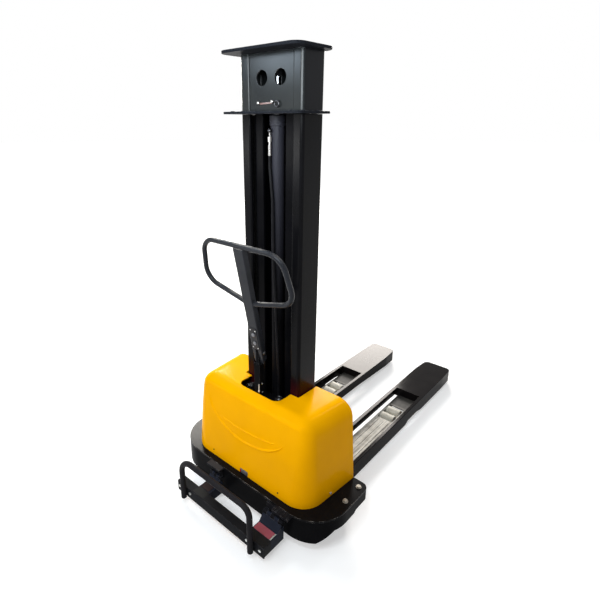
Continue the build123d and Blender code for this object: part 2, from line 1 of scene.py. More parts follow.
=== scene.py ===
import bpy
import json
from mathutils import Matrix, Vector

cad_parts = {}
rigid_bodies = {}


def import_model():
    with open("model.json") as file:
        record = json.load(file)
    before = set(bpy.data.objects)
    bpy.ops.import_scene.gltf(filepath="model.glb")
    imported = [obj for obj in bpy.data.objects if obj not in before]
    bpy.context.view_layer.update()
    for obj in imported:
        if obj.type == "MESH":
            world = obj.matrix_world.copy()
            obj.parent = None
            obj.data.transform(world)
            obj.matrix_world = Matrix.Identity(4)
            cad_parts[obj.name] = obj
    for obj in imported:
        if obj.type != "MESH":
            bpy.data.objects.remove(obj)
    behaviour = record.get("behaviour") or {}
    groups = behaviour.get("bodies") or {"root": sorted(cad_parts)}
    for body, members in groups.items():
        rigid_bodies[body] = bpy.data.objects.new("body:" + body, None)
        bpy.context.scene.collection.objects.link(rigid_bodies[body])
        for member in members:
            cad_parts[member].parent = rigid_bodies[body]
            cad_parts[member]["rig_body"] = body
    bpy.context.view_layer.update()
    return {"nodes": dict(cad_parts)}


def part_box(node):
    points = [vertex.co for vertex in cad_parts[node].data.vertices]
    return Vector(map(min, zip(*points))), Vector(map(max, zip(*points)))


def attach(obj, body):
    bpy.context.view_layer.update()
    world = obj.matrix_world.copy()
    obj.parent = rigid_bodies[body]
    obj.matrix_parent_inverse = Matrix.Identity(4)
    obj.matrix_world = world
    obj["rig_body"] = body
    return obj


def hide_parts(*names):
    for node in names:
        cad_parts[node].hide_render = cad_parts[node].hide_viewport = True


bl_info = {
    "name": "Self-loading stacker",
    "version": (1, 0, 0),
    "blender": (4, 5, 0),
    "location": "View3D > Sidebar > Stacker",
    "description": "Dresses the stacker's frame with modelled pieces, finishes, camera and light",
    "category": "Object",
}

import json
import math

import bmesh
import bpy
from bpy.props import FloatProperty, FloatVectorProperty, IntProperty, PointerProperty
from mathutils import Matrix, Vector

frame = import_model()
MAST_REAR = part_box("mast_rail_right")[0].y
MM = 0.001

# Points closer than this are merged, in metres
MERGE = 0.00002
# Angles that tell flat, hard and smooth edges apart, in degrees
FLAT_ANGLE = 0.4
HARD_ANGLE = 32
SMOOTH_ANGLE = 38
# Radius of lathe points that lie on the axis, in millimetres
AXIS = 0.01


# Places and selections
def at(x, y, z):
    """A point given in millimetres, with y counted from the rear face of the mast."""
    return Vector((x * MM, y * MM + MAST_REAR, z * MM))


def bounds_mm(node):
    """The corners of a frame solid's box, in the units of at."""
    low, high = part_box(node)
    shift = Vector((0, MAST_REAR, 0))
    return (low - shift) / MM, (high - shift) / MM


def fresh():
    if bpy.context.object and bpy.context.object.mode != 'OBJECT':
        bpy.ops.object.mode_set(mode='OBJECT')
    bpy.ops.object.select_all(action='DESELECT')


def take(piece):
    fresh()
    piece.select_set(True)
    bpy.context.view_layer.objects.active = piece


def named(name):
    piece = bpy.context.object
    piece.name = name
    piece.data.name = name
    return piece


def placed(name, data):
    """A new object that shows data, linked to the scene."""
    thing = bpy.data.objects.new(name, data)
    bpy.context.scene.collection.objects.link(thing)
    return thing


def edit(piece, kind='VERT', action='DESELECT'):
    take(piece)
    bpy.ops.object.mode_set(mode='EDIT')
    bpy.ops.mesh.select_mode(type=kind)
    bpy.ops.mesh.select_all(action=action)
    return bmesh.from_edit_mesh(piece.data)


def pick(piece, shape, parts):
    for part in parts:
        part.select_set(True)
    shape.select_flush_mode()
    bmesh.update_edit_mesh(piece.data)


def apply(piece, kind, **settings):
    take(piece)
    modifier = piece.modifiers.new(kind.lower(), kind)
    for key, value in settings.items():
        setattr(modifier, key, value)
    bpy.ops.object.modifier_apply(modifier=modifier.name)
    return piece


def smooth(piece, angle=SMOOTH_ANGLE):
    take(piece)
    bpy.ops.object.shade_smooth_by_angle(angle=math.radians(angle))
    return apply(piece, 'WEIGHTED_NORMAL', weight=60, keep_sharp=True)


def outward(piece):
    """Merges a piece's double points and turns its faces outward."""
    edit(piece, action='SELECT')
    bpy.ops.mesh.remove_doubles(threshold=MERGE)
    bpy.ops.mesh.normals_make_consistent(inside=False)
    fresh()
    return piece


# Modelling helpers
TUBE_STEPS = 14
TUBE_SIDES = 8

# From two coordinates across an axis and one along it to a point
ALONG = {
    "X": lambda u, v, w: at(w, u, v),
    "Y": lambda u, v, w: at(u, w, v),
    "Z": at,
}


def rectangle(x, y):
    """The four corners between two places each way, from the first of both."""
    return [(x[0], y[0]), (x[1], y[0]), (x[1], y[1]), (x[0], y[1])]


def ring(centre, radius, steps):
    turns = [2 * math.pi * k / steps for k in range(steps)]
    return [(centre[0] + radius * math.cos(turn), centre[1] + radius * math.sin(turn)) for turn in turns]


def outlined(name, spots, fill='NOTHING'):
    """A new mesh with its corners at the given points, in order."""
    fresh()
    bpy.ops.mesh.primitive_circle_add(vertices=len(spots), fill_type=fill)
    piece = named(name)
    for vertex, spot in zip(piece.data.vertices, spots):
        vertex.co = spot
    return piece


def round_corners(piece, spots, radius, steps, clamp):
    """Rounds the corners of an outline that lie at the given points."""
    shape = edit(piece)
    pick(piece, shape, [min(shape.verts, key=lambda v: (v.co - spot).length) for spot in spots])
    bpy.ops.mesh.bevel(offset=radius * MM, segments=steps, affect='VERTICES', clamp_overlap=clamp)


def prism(name, corners, span, radii=(), axis="Z", steps=7):
    """A bar or plate: an outline with rounded corners, extruded from span[0] to span[1]."""
    side = ALONG[axis]
    spots = [side(u, v, span[0]) for u, v in corners]
    piece = outlined(name, spots, 'NGON')
    for radius in sorted(set(radii) - {0}):
        wanted = [spot for spot, bend in zip(spots, radii) if bend == radius]
        round_corners(piece, wanted, radius, steps, clamp=False)
    edit(piece, action='SELECT')
    way = side(0, 0, span[1]) - side(0, 0, span[0])
    bpy.ops.mesh.extrude_region_move(TRANSFORM_OT_translate={"value": way})
    return outward(piece)


def disc(name, centre, radius, span, axis, steps=40):
    """A round blank along one axis; centre holds the other two coordinates in order."""
    return prism(name, ring(centre, radius, steps), span, axis=axis)


def turned(name, profile, centre, axis, steps=48, angle=SMOOTH_ANGLE):
    """A lathe shape: a closed profile of (radius, place along the axis) spun about that axis."""
    side = ALONG[axis]
    piece = outlined(name, [side(centre[0] + radius, centre[1], place) for radius, place in profile])
    hub = side(*centre, 0)
    way = (side(*centre, 1) - hub).normalized()
    edit(piece, action='SELECT')
    bpy.ops.mesh.spin(steps=steps, angle=2 * math.pi, center=hub, axis=way)
    return smooth(outward(piece), angle)


def swept(name, radius, sides, angle):
    """Turns the active curve into a round solid along it."""
    curve = bpy.context.object.data
    curve.bevel_depth = radius * MM
    curve.bevel_resolution = sides
    curve.use_fill_caps = True
    bpy.ops.object.convert(target='MESH')
    return smooth(outward(named(name)), angle)


def tube(name, points, radius, bends):
    """A bent round tube along points in millimetres, with the radius of each bend."""
    spots = [at(*point) for point in points]
    piece = outlined(name, spots)
    shape = edit(piece, 'EDGE')
    ends = {shape.verts[:][0], shape.verts[:][-1]}
    pick(piece, shape, [e for e in shape.edges if set(e.verts) == ends])
    bpy.ops.mesh.delete(type='EDGE')
    for spot, bend in zip(spots[1:-1], bends):
        round_corners(piece, [spot], bend, TUBE_STEPS, clamp=True)
    take(piece)
    bpy.ops.object.convert(target='CURVE')
    return swept(name, radius, TUBE_SIDES, angle=50)


def weld(name, points, radius):
    """A weld seam with its row of scales along points in millimetres."""
    spots = []
    for first, second in zip(points, points[1:]):
        first, second = Vector(first), Vector(second)
        count = max(2, round((second - first).length / (radius * 0.8)))
        spots += [first.lerp(second, k / count) for k in range(count)]
    spots.append(Vector(points[-1]))
    curve = bpy.data.curves.new(name, 'CURVE')
    curve.dimensions = '3D'
    line = curve.splines.new('POLY')
    line.points.add(len(spots) - 1)
    for k, (point, spot) in enumerate(zip(line.points, spots)):
        point.co = (*at(*spot), 1)
        point.radius = 1.0 if k % 2 else 0.78
    take(placed(name, curve))
    return swept(name, radius, 2, angle=60)


def cut(piece, *cutters):
    """Takes the cutters out of the piece and removes them."""
    for cutter in cutters:
        apply(piece, 'BOOLEAN', operation='DIFFERENCE', solver='EXACT', object=cutter)
        bpy.data.objects.remove(cutter)
    return outward(piece)


def join(name, *pieces):
    fresh()
    for piece in pieces:
        piece.select_set(True)
    bpy.context.view_layer.objects.active = pieces[0]
    bpy.ops.object.join()
    return named(name)


def soften(piece, width, segments=2, shortest=0.0):
    """Rounds the hard edges of a piece, leaving out edges shorter than shortest millimetres."""
    shape = edit(piece, 'EDGE')
    hard = [
        e for e in shape.edges
        if len(e.link_faces) == 2
        and e.calc_face_angle(0) > math.radians(HARD_ANGLE)
        and e.calc_length() > shortest * MM
    ]
    if hard:
        pick(piece, shape, hard)
        bpy.ops.mesh.bevel(offset=width * MM, segments=segments, affect='EDGES', clamp_overlap=True)
    return smooth(piece)


def copy_of(node, name):
    """A merged copy of a frame solid, as a start for a dressed piece."""
    fresh()
    piece = placed(name, frame["nodes"][node].data.copy())
    edit(piece, action='SELECT')
    bpy.ops.mesh.remove_doubles(threshold=MERGE)
    bpy.ops.mesh.customdata_custom_splitnormals_clear()
    bpy.ops.mesh.dissolve_limited(angle_limit=math.radians(FLAT_ANGLE))
    fresh()
    return piece


def mirrored(piece, name):
    """A copy of a piece on the other side of the machine, with a mesh of its own."""
    other = placed(name, piece.data.copy())
    other.data.transform(Matrix.Scale(-1, 4, (1, 0, 0)))
    edit(other, action='SELECT')
    bpy.ops.mesh.customdata_custom_splitnormals_clear()
    bpy.ops.mesh.flip_normals()
    return smooth(other)


def tipped(piece, place, angle):
    """Tips a piece drawn about the origin of at, and moves that origin to a place."""
    turn = Matrix.Rotation(angle, 4, 'X')
    piece.data.transform(Matrix.Translation(at(*place)) @ turn @ Matrix.Translation(-at(0, 0, 0)))
    return piece


def dress(piece, slot, *nodes, body=None, look=None):
    """Gives a piece its finish and its body, and lets it stand for frame solids."""
    piece.data.materials.clear()
    piece.data.materials.append(finish(look or slot))
    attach(piece, body or frame["nodes"][nodes[0]]["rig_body"])
    if nodes:
        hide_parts(*nodes)
    return piece


def dress_copy(node, name, slot, width, shortest=5.0, segments=2, look=None):
    """Dresses a copy of a frame solid whose longer hard edges are rounded."""
    return dress(soften(copy_of(node, name), width, segments, shortest), slot, node, look=look)


# Fasteners and wheels
BOLT_ACROSS = 16
BOLT_HEIGHT = 6
WASHER_RADIUS = 11
WASHER_THICK = 1.6


def hex_bolt(name, spot):
    """A hexagon head standing on a washer, the head's foot at spot."""
    x, y, z = spot
    corner = BOLT_ACROSS / 2 / math.cos(math.radians(30))
    head = soften(disc(name, (x, y), corner, (z, z + BOLT_HEIGHT), "Z", steps=6), 0.8)
    base = soften(disc(name + "_washer", (x, y), WASHER_RADIUS, (z - WASHER_THICK, z), "Z"), 0.4)
    return join(name, head, base)


def screw_head(radius, chamfer, foot, rim, top):
    """The profile of a round head: its foot, the start of its chamfer and its top along the axis."""
    return [(AXIS, foot), (radius, foot), (radius, rim), (radius - chamfer, top), (AXIS, top)]


def raised(start, points):
    """A part of a profile whose places are counted from start."""
    return [(radius, start + place) for radius, place in points]


def two_faced(face, near, far):
    """A profile with the same face at both ends, from points of (radius, depth below the face)."""
    return raised(near, face) + [(radius, far - depth) for radius, depth in reversed(face)]


def guide_face(radius):
    return [(10.05, 0), (18, 0), (19, 1.5), (30, 1.5), (31, 0), (radius - 3, 0), (radius, 3)]


def nylon_face(radius, bore):
    """A recessed face with a bearing lip."""
    lip = [(bore, 0), (bore + 5, 0), (bore + 6, 2)]
    return lip + [(radius - 7, 2), (radius - 6, 0), (radius - 3, 0), (radius, 3)]


def tyre_face(radius):
    return [(30, 0), (radius - 6, 0), (radius - 3, 0.9), (radius - 0.9, 3), (radius, 6)]


def wheel_pair(name, node, slot, face, **sizes):
    """A right and a left wheel in the boxes of the frame's wheels, with a face drawn for the radius."""
    low, high = bounds_mm(node % "right")
    centre = ((low.y + high.y) / 2, (low.z + high.z) / 2)
    profile = two_faced(face((high.z - low.z) / 2, **sizes), low.x, high.x)
    right = turned(name % "right", profile, centre, "X")
    left = mirrored(right, name % "left")
    dress(right, slot, node % "right")
    dress(left, slot, node % "left")


# Shader nodes
def feed(tree, node, values):
    """Sets inputs of a node to values, or links them to the outputs of other nodes."""
    for key, value in values.items():
        if isinstance(value, bpy.types.NodeSocket):
            tree.links.new(value, node.inputs[key])
        else:
            node.inputs[key].default_value = value
    return node


def add(tree, kind, values=None, **settings):
    """A new node with its settings and inputs."""
    made = tree.nodes.new(kind)
    for key, value in settings.items():
        setattr(made, key, value)
    return feed(tree, made, values or {})


def maths(tree, operation, first, second, clamp=False):
    made = add(tree, 'ShaderNodeMath', {0: first, 1: second}, operation=operation, use_clamp=clamp)
    return made.outputs[0]


def mixed(tree, factor, first, second):
    return add(tree, 'ShaderNodeMix', {0: factor, 6: first, 7: second}, data_type='RGBA').outputs[2]


def noise(tree, place, scale, detail=3.0, rough=0.5):
    values = {"Vector": place, "Scale": scale, "Detail": detail, "Roughness": rough}
    return add(tree, 'ShaderNodeTexNoise', values).outputs[0]


def ranged(tree, value, low, high, to_low=0.0, to_high=1.0):
    values = dict(enumerate((value, low, high, to_low, to_high)))
    return add(tree, 'ShaderNodeMapRange', values).outputs[0]


def own_place(tree):
    return add(tree, 'ShaderNodeTexCoord').outputs["Object"]


def coordinate(tree, place, axis):
    """One coordinate of a vector."""
    return add(tree, 'ShaderNodeSeparateXYZ', {0: place}).outputs[axis]


# Shader node groups
NUMBER = 'NodeSocketFloat'
VECTOR = 'NodeSocketVector'
COLOUR = 'NodeSocketColor'
GROUP_OUTPUTS = {"Color": COLOUR, "Roughness": NUMBER, "Height": NUMBER}
EDGE_RADIUS = 0.0016
# Pale colour mixed into upward faces: dust, and on the handle a painted highlight
DUST_AND_SHEEN_COLOUR = (0.32, 0.29, 0.26, 1)


def shader_group(name, inputs):
    """A node group with the given inputs and the outputs that every finish has."""
    group = bpy.data.node_groups.new(name, 'ShaderNodeTree')
    for label, kind in inputs.items():
        group.interface.new_socket(label, in_out='INPUT', socket_type=kind)
    for label, kind in GROUP_OUTPUTS.items():
        group.interface.new_socket(label, in_out='OUTPUT', socket_type=kind)
    return group, add(group, 'NodeGroupInput').outputs


def paint_group():
    """Sprayed paint: cloudy tone, fine orange peel, dust on upward faces and pale worn edges; where the dust
    is set strong, as on the handle, it is a painted highlight on upward faces.
    """
    group, given = shader_group("Sprayed paint", {
        "Colour": COLOUR, "Clouded Colour": COLOUR, "Worn Colour": COLOUR, "Wear": NUMBER, "Dust And Sheen": NUMBER,
        "Roughness": NUMBER, "Roughness Spread": NUMBER,
    })
    place = own_place(group)
    facing = add(group, 'ShaderNodeNewGeometry').outputs["Normal"]
    cloud = ranged(group, noise(group, place, scale=6, detail=4), 0.35, 0.7)
    tone = mixed(group, cloud, given["Colour"], given["Clouded Colour"])
    rounded = add(group, 'ShaderNodeBevel', {"Radius": EDGE_RADIUS}, samples=4).outputs[0]
    meet = add(group, 'ShaderNodeVectorMath', {0: rounded, 1: facing}, operation='DOT_PRODUCT')
    edge = ranged(group, meet.outputs["Value"], 0.985, 0.9)
    patchy = ranged(group, noise(group, place, scale=38, detail=3), 0.4, 0.62)
    wear = maths(group, 'MULTIPLY', maths(group, 'MULTIPLY', edge, patchy), given["Wear"], clamp=True)
    # Upward faces take the pale mix: dust, and a painted highlight where it is set strong
    upward = ranged(group, coordinate(group, facing, "Z"), 0.55, 1.0)
    film = ranged(group, noise(group, place, scale=14, detail=6, rough=0.6), 0.42, 0.75)
    dust_and_sheen = maths(group, 'MULTIPLY', maths(group, 'MULTIPLY', upward, film), given["Dust And Sheen"], clamp=True)
    tone = mixed(group, wear, tone, given["Worn Colour"])
    tone = mixed(group, dust_and_sheen, tone, DUST_AND_SHEEN_COLOUR)
    ripple = maths(group, 'SUBTRACT', noise(group, place, scale=22, detail=4), 0.5)
    spread = maths(group, 'MULTIPLY', ripple, given["Roughness Spread"])
    rough = maths(group, 'ADD', given["Roughness"], spread)
    rough = maths(group, 'ADD', rough, maths(group, 'MULTIPLY', dust_and_sheen, 0.5), clamp=True)
    peel = noise(group, place, scale=420, detail=2)
    add(group, 'NodeGroupOutput', {"Color": tone, "Roughness": rough, "Height": peel})
    return group


def metal_group():
    """Bare or plated metal: long drawn streaks and blotches along one direction."""
    group, given = shader_group("Drawn metal", {
        "Colour": COLOUR, "Dark Colour": COLOUR, "Stretch": VECTOR, "Roughness": NUMBER,
        "Roughness Spread": NUMBER,
    })
    place = own_place(group)
    scaled = add(group, 'ShaderNodeVectorMath', {0: place, 1: given["Stretch"]}, operation='MULTIPLY')
    streak = noise(group, scaled.outputs[0], scale=1, detail=4, rough=0.6)
    blotch = noise(group, place, scale=26, detail=3)
    blend = maths(group, 'ADD', maths(group, 'MULTIPLY', streak, 0.7), maths(group, 'MULTIPLY', blotch, 0.3))
    tone = mixed(group, ranged(group, blend, 0.35, 0.65), given["Dark Colour"], given["Colour"])
    spread = maths(group, 'MULTIPLY', maths(group, 'SUBTRACT', streak, 0.5), given["Roughness Spread"])
    rough = maths(group, 'ADD', given["Roughness"], spread, clamp=True)
    add(group, 'NodeGroupOutput', {"Color": tone, "Roughness": rough, "Height": streak})
    return group


def grain_group():
    """Moulded plastic or rubber: fine grain, faint mottling and scuffs."""
    group, given = shader_group("Moulded grain", {
        "Colour": COLOUR, "Scuffed Colour": COLOUR, "Scuffs": NUMBER, "Roughness": NUMBER,
    })
    place = own_place(group)
    scuff = ranged(group, noise(group, place, scale=34, detail=6, rough=0.65), 0.5, 0.78)
    mask = maths(group, 'MULTIPLY', scuff, given["Scuffs"], clamp=True)
    tone = mixed(group, mask, given["Colour"], given["Scuffed Colour"])
    rough = maths(group, 'ADD', given["Roughness"], maths(group, 'MULTIPLY', mask, 0.25), clamp=True)
    grain = noise(group, place, scale=700, detail=2)
    add(group, 'NodeGroupOutput', {"Color": tone, "Roughness": rough, "Height": grain})
    return group


# Finishes, with colours as linear values or as names of colour settings
GROUPS = {}
MATERIALS = {}
BUMP_DEPTH = 0.0004
GREY_EDGE = (0.22, 0.22, 0.23)
WARM_EDGE = (0.24, 0.21, 0.20)
WORN_STEEL = (0.42, 0.39, 0.36)
EVEN = (70, 70, 70)

# Paints: name, colour, clouded colour, wear, roughness, its spread, specular, worn colour, dust (on the
# handle a painted highlight on upward faces), bump
PAINTS = {
    "black_paint": ("Black paint", "black", (0.006, 0.006, 0.007), 0.3, 0.3, 0.12, 0.01),
    "tube_black": ("Frame tube paint", (0.017, 0.016, 0.018), (0.022, 0.021, 0.023), 0.2, 0.45, 0.1, 0.015),
    "deck_paint": ("Deck paint", "black", (0.006, 0.005, 0.005), 1.0, 0.2, 0.08, 0.04, WORN_STEEL),
    "mast_paint": ("Mast paint", (0.0018, 0.0018, 0.0022), (0.003, 0.003, 0.004), 0.3, 0.22, 0.1, 0.06),
    "fork_paint": (
        "Fork paint", "fork", (0.009, 0.0075, 0.0075), 0.4, 0.1, 0.03, 0.5, WARM_EDGE, 0.01, 0.004),
    "cover_yellow": ("Yellow cover", "cover", (0.85, 0.378, 0), 0, 0.16, 0.04, 0.015, "cover", 0, 0.01),
    "head_paint": ("Head paint", "head", (0.012, 0.014, 0.014), 0.7, 0.22, 0.06, 0.2, GREY_EDGE, 0.02, 0.02),
    "plate_paint": (
        "Head plate paint", (0.008, 0.009, 0.012), (0.012, 0.013, 0.016), 0.6, 0.4, 0.1, 0.015, GREY_EDGE,
        0.02),
    "barrel_paint": ("Barrel paint", (0.020, 0.020, 0.026), (0.026, 0.026, 0.034), 0.2, 0.4, 0.08, 0.5),
    "unit_paint": (
        "Power unit paint", (0.02, 0.02, 0.022), (0.035, 0.035, 0.035), 0.4, 0.4, 0.1, 0.5, GREY_EDGE, 0.1),
    # Handle: its strong dust lightens the tops of the bars, a painted highlight
    "handle_paint": ("Handle paint", "handle", (0.018, 0.019, 0.023), 0.5, 0.24, 0.1, 0.1, GREY_EDGE, 0.9),
    "leaf_grey": ("Hinge leaf", (0.009, 0.009, 0.011), (0.013, 0.013, 0.015), 0.6, 0.35, 0.1, 0.015),
    "leaf_light": ("Lug plate", (0.036, 0.036, 0.039), (0.046, 0.046, 0.049), 0.6, 0.35, 0.1, 0.015),
    "arm_navy": ("Frame arm paint", (0.014, 0.017, 0.027), (0.019, 0.022, 0.034), 0.4, 0.3, 0.1, 0.02),
    "bar_navy": ("Frame bar paint", (0.010, 0.0105, 0.0125), (0.014, 0.0145, 0.016), 0.4, 0.3, 0.1, 0.01),
    "clamp_rust": (
        "Clamp bar paint", (0.20, 0.12, 0.11), (0.42, 0.32, 0.30), 0.8, 0.35, 0.1, 0.2, WARM_EDGE, 0.05),
}
# Metals: name, colour, dark colour, stretch of the streaks, roughness, its spread, metallic, specular, bump
METALS = {
    # The chromed rod's colour is dimmed as painted shade, since it shows only in the shade of the head
    "rod_chrome": ("Chromed rod", (0.50, 0.51, 0.53), (0.38, 0.39, 0.41), (60, 60, 900), 0.12, 0.06),
    "zinc_steel": ("Zinc steel", (0.74, 0.74, 0.72), (0.5, 0.5, 0.48), EVEN, 0.28),
    "bolt_steel": ("Deck bolts", (0.42, 0.39, 0.34), (0.15, 0.135, 0.11), EVEN, 0.6),
    "dark_steel": ("Dark steel", (0.10, 0.10, 0.11), (0.05, 0.05, 0.05), EVEN, 0.3),
    "leg_steel": ("Galvanised legs", "leg", (0.15, 0.14, 0.12), (70, 3, 60), 0.5, 0.2, 0.0, 0.12, 0.2),
    "guide_steel": ("Guide rollers", (0.45, 0.44, 0.43), (0.2, 0.19, 0.18), (20, 160, 160), 0.32),
    "caster_steel": ("Caster steel", (0.66, 0.66, 0.65), (0.4, 0.4, 0.39), (40, 40, 90), 0.32),
}
# Plastics and rubber: name, colour, scuffed colour, scuffs, roughness, specular
MOULDED = {
    "hose_rubber": ("Hose rubber", (0.004, 0.004, 0.005), (0.02, 0.02, 0.02), 0.3, 0.38, 0.08),
    "knob_black": ("Knob plastic", (0.010, 0.010, 0.011), (0.05, 0.05, 0.05), 0.3, 0.16, 0.6),
    "battery_case": ("Battery case", (0.03, 0.03, 0.035), (0.1, 0.1, 0.1), 0.3, 0.5),
    "socket_plastic": ("Socket plastic", (0.08, 0.075, 0.085), (0.15, 0.15, 0.16), 0.3, 0.45),
    "lamp_red": ("Lamp red", (0.6, 0.01, 0.012), (0.7, 0.1, 0.1), 0.2, 0.2),
    "roller_nylon": ("Roller nylon", (0.46, 0.44, 0.38), (0.16, 0.15, 0.13), 0.6, 0.4, 0.2),
    "plate_plastic": ("Button plate", (0.010, 0.010, 0.012), (0.03, 0.03, 0.03), 0.4, 0.4, 0.15),
    "button_grey": ("Button rubber", (0.13, 0.13, 0.14), (0.2, 0.2, 0.2), 0.4, 0.5),
    "tread_red": ("Red tread", "tread", (0.30, 0.11, 0.12), 0.5, 0.5, 0.05),
    "tread_dark": ("Worn tread", (0.030, 0.020, 0.020), (0.06, 0.04, 0.04), 0.5, 0.5, 0.04),
    "strip_pale": ("Tread strip", (0.42, 0.42, 0.37), (0.55, 0.55, 0.5), 0.4, 0.5, 0.1),
    "caster_hub": ("Caster hub", (0.05, 0.05, 0.055), (0.14, 0.14, 0.14), 0.4, 0.45),
    "caster_tread": ("Caster tread", (0.018, 0.018, 0.018), (0.12, 0.11, 0.1), 0.6, 0.6),
}
# Finishes that start from another one
BASES = {"inner_paint": "mast_paint", "mast_with_cover_reflection": "mast_paint", "head_rail_with_painted_shade": "head_paint"}
# Fades of the specular level: axis, start and stop in metres, level before and after
GLOSSES = {
    "inner_paint": ("Z", 0.6, 1.5, 0.03, 0.02),
    "fork_paint": ("Z", 0.083, 0.087, 0.02, 0.038),
    "head_rail_with_painted_shade": ("X", 0.1445, 0.1455, 0.2, 0.08),
    "barrel_paint": ("Z", 0.85, 1.45, 0.03, 0.12),
}
# Fades of the colour: axis, start and stop in metres, colour after; all rows but the arm's are painted
# shade, shadow or reflection
TINTS = {
    # Painted reflection of the yellow cover: the mast rails turn dark red just above it
    "mast_with_cover_reflection": ("Z", 0.60, 0.52, (0.030, 0.0035, 0.005)),
    # Painted shade: the outer face of the right head rail is darkened, its specular level lowered too
    "head_rail_with_painted_shade": ("X", 0.1445, 0.1455, (0.008, 0.0082, 0.010)),
    # Painted shade: the barrel darkens downwards, deeper inside the mast
    "barrel_paint": ("Z", 1.45, 0.85, (0.004, 0.004, 0.005)),
    # Painted shadow: the legs darken at their front ends, under the fork tips
    "leg_steel": ("Y", 0.285, 0.345, (0.022, 0.021, 0.019)),
    "arm_navy": ("Y", -0.800, -0.806, (0.015, 0.0152, 0.0155)),
}


def rgb(colour):
    if isinstance(colour, str):
        colour = getattr(bpy.context.scene.stacker_colours, colour)
    return (*colour, 1.0)


def shared_group(make):
    if make not in GROUPS:
        GROUPS[make] = make()
    return GROUPS[make]


def surface(name, make, values, bump, metallic, specular):
    """A material: one shared group with its own values, feeding a Principled shader."""
    material = bpy.data.materials.new(name)
    material.use_nodes = True
    tree = material.node_tree
    look = add(tree, 'ShaderNodeGroup', values, node_tree=shared_group(make)).outputs
    relief = {"Strength": bump, "Distance": BUMP_DEPTH, "Height": look["Height"]}
    normal = add(tree, 'ShaderNodeBump', relief).outputs[0]
    feed(tree, tree.nodes["Principled BSDF"], {
        "Base Color": look["Color"], "Roughness": look["Roughness"], "Normal": normal,
        "Metallic": metallic, "Specular IOR Level": specular,
    })
    return material


def painted(name, colour, cloud, wear, rough, spread, specular, worn=GREY_EDGE, dust_and_sheen=0.01, bump=0.1):
    values = {
        "Colour": rgb(colour), "Clouded Colour": rgb(cloud), "Worn Colour": rgb(worn), "Wear": wear,
        "Dust And Sheen": dust_and_sheen, "Roughness": rough, "Roughness Spread": spread,
    }
    return surface(name, paint_group, values, bump, 0.0, specular)


def metal(name, colour, dark, stretch, rough, spread=0.2, metallic=1.0, specular=0.5, bump=0.1):
    values = {
        "Colour": rgb(colour), "Dark Colour": rgb(dark), "Stretch": stretch, "Roughness": rough,
        "Roughness Spread": spread,
    }
    return surface(name, metal_group, values, bump, metallic, specular)


def moulded(name, colour, scuffed, scuffs, rough, specular=0.5):
    values = {"Colour": rgb(colour), "Scuffed Colour": rgb(scuffed), "Scuffs": scuffs, "Roughness": rough}
    return surface(name, grain_group, values, 0.2, 0.0, specular)


def faded(tree, axis, start, stop, *levels):
    """A value that changes between two places along one of the object's own axes."""
    return ranged(tree, coordinate(tree, own_place(tree), axis), start, stop, *levels)


def finish(look):
    """The material of a finish, made the first time it is asked for."""
    if look in MATERIALS:
        return MATERIALS[look]
    base = BASES.get(look, look)
    for make, rows in ((painted, PAINTS), (metal, METALS), (moulded, MOULDED)):
        if base in rows:
            material = make(*rows[base])
    tree = material.node_tree
    shader = tree.nodes["Principled BSDF"]
    if look in GLOSSES:
        feed(tree, shader, {"Specular IOR Level": faded(tree, *GLOSSES[look])})
    # Tints mix a colour in along an axis; most are painted shade, shadow or reflection
    if look in TINTS:
        *places, colour = TINTS[look]
        plain = shader.inputs["Base Color"].links[0].from_socket
        feed(tree, shader, {"Base Color": mixed(tree, faded(tree, *places), plain, rgb(colour))})
    MATERIALS[look] = material
    return material


# Settings
def colour_setting(name, description, default):
    return FloatVectorProperty(name=name, description=description, subtype='COLOR', default=default)


class StackerColours(bpy.types.PropertyGroup):
    """Colours of the finishes, as linear values"""

    black: colour_setting("Black paint", "Deck, mast and rear frame", (0.0035, 0.0035, 0.004))
    fork: colour_setting("Fork paint", "Brown-black of the forks", (0.006, 0.005, 0.005))
    cover: colour_setting("Cover", "Moulded yellow cover", (0.90, 0.405, 0.0))
    head: colour_setting("Head paint", "Head of the sliding mast", (0.008, 0.010, 0.011))
    handle: colour_setting("Handle paint", "Handle post and loop", (0.012, 0.013, 0.016))
    leg: colour_setting("Leg steel", "Galvanised support legs", (0.64, 0.615, 0.555))
    tread: colour_setting("Tread", "Red pads of the rear frame", (0.32, 0.075, 0.095))


class StackerStage(bpy.types.PropertyGroup):
    """Camera and light"""

    camera_place: FloatVectorProperty(
        name="Camera place", description="Where the camera stands", subtype='TRANSLATION', unit='LENGTH',
        default=(1.13095, -1.74717, 1.5741))
    camera_turn: FloatVectorProperty(
        name="Camera turn", description="How the camera is turned", subtype='EULER',
        default=(math.radians(70.88), math.radians(0.08), math.radians(41.64)))
    lens: FloatProperty(
        name="Lens", description="Focal length on a 36 mm sensor, in millimetres", default=27.13)
    shift: FloatVectorProperty(
        name="Shift", description="Offset of the frame", size=2, default=(0.0385, -0.0358))
    ambient: FloatProperty(name="Ambient", description="World light on the object", default=0.28, min=0)
    key: FloatProperty(
        name="Key light", description="Power of the large key light", subtype='POWER', default=16)


class StackerSizes(bpy.types.PropertyGroup):
    """Sizes of modelled detail"""

    cover_wall: FloatProperty(
        name="Cover wall", description="Thickness of the cover, in millimetres", default=5.0, min=1)
    lathe_steps: IntProperty(
        name="Lathe steps", description="Segments of the cylinder's turned pieces", default=56, min=16)


# Deck and mast
DECK_FRONT_BEND = 30
DECK_REAR_BEND = 161
DECK_BOLT_X = (323, 403)
DECK_BOLT_Y = (-15, 83)
DECK_BOLT_RISE = 1.5


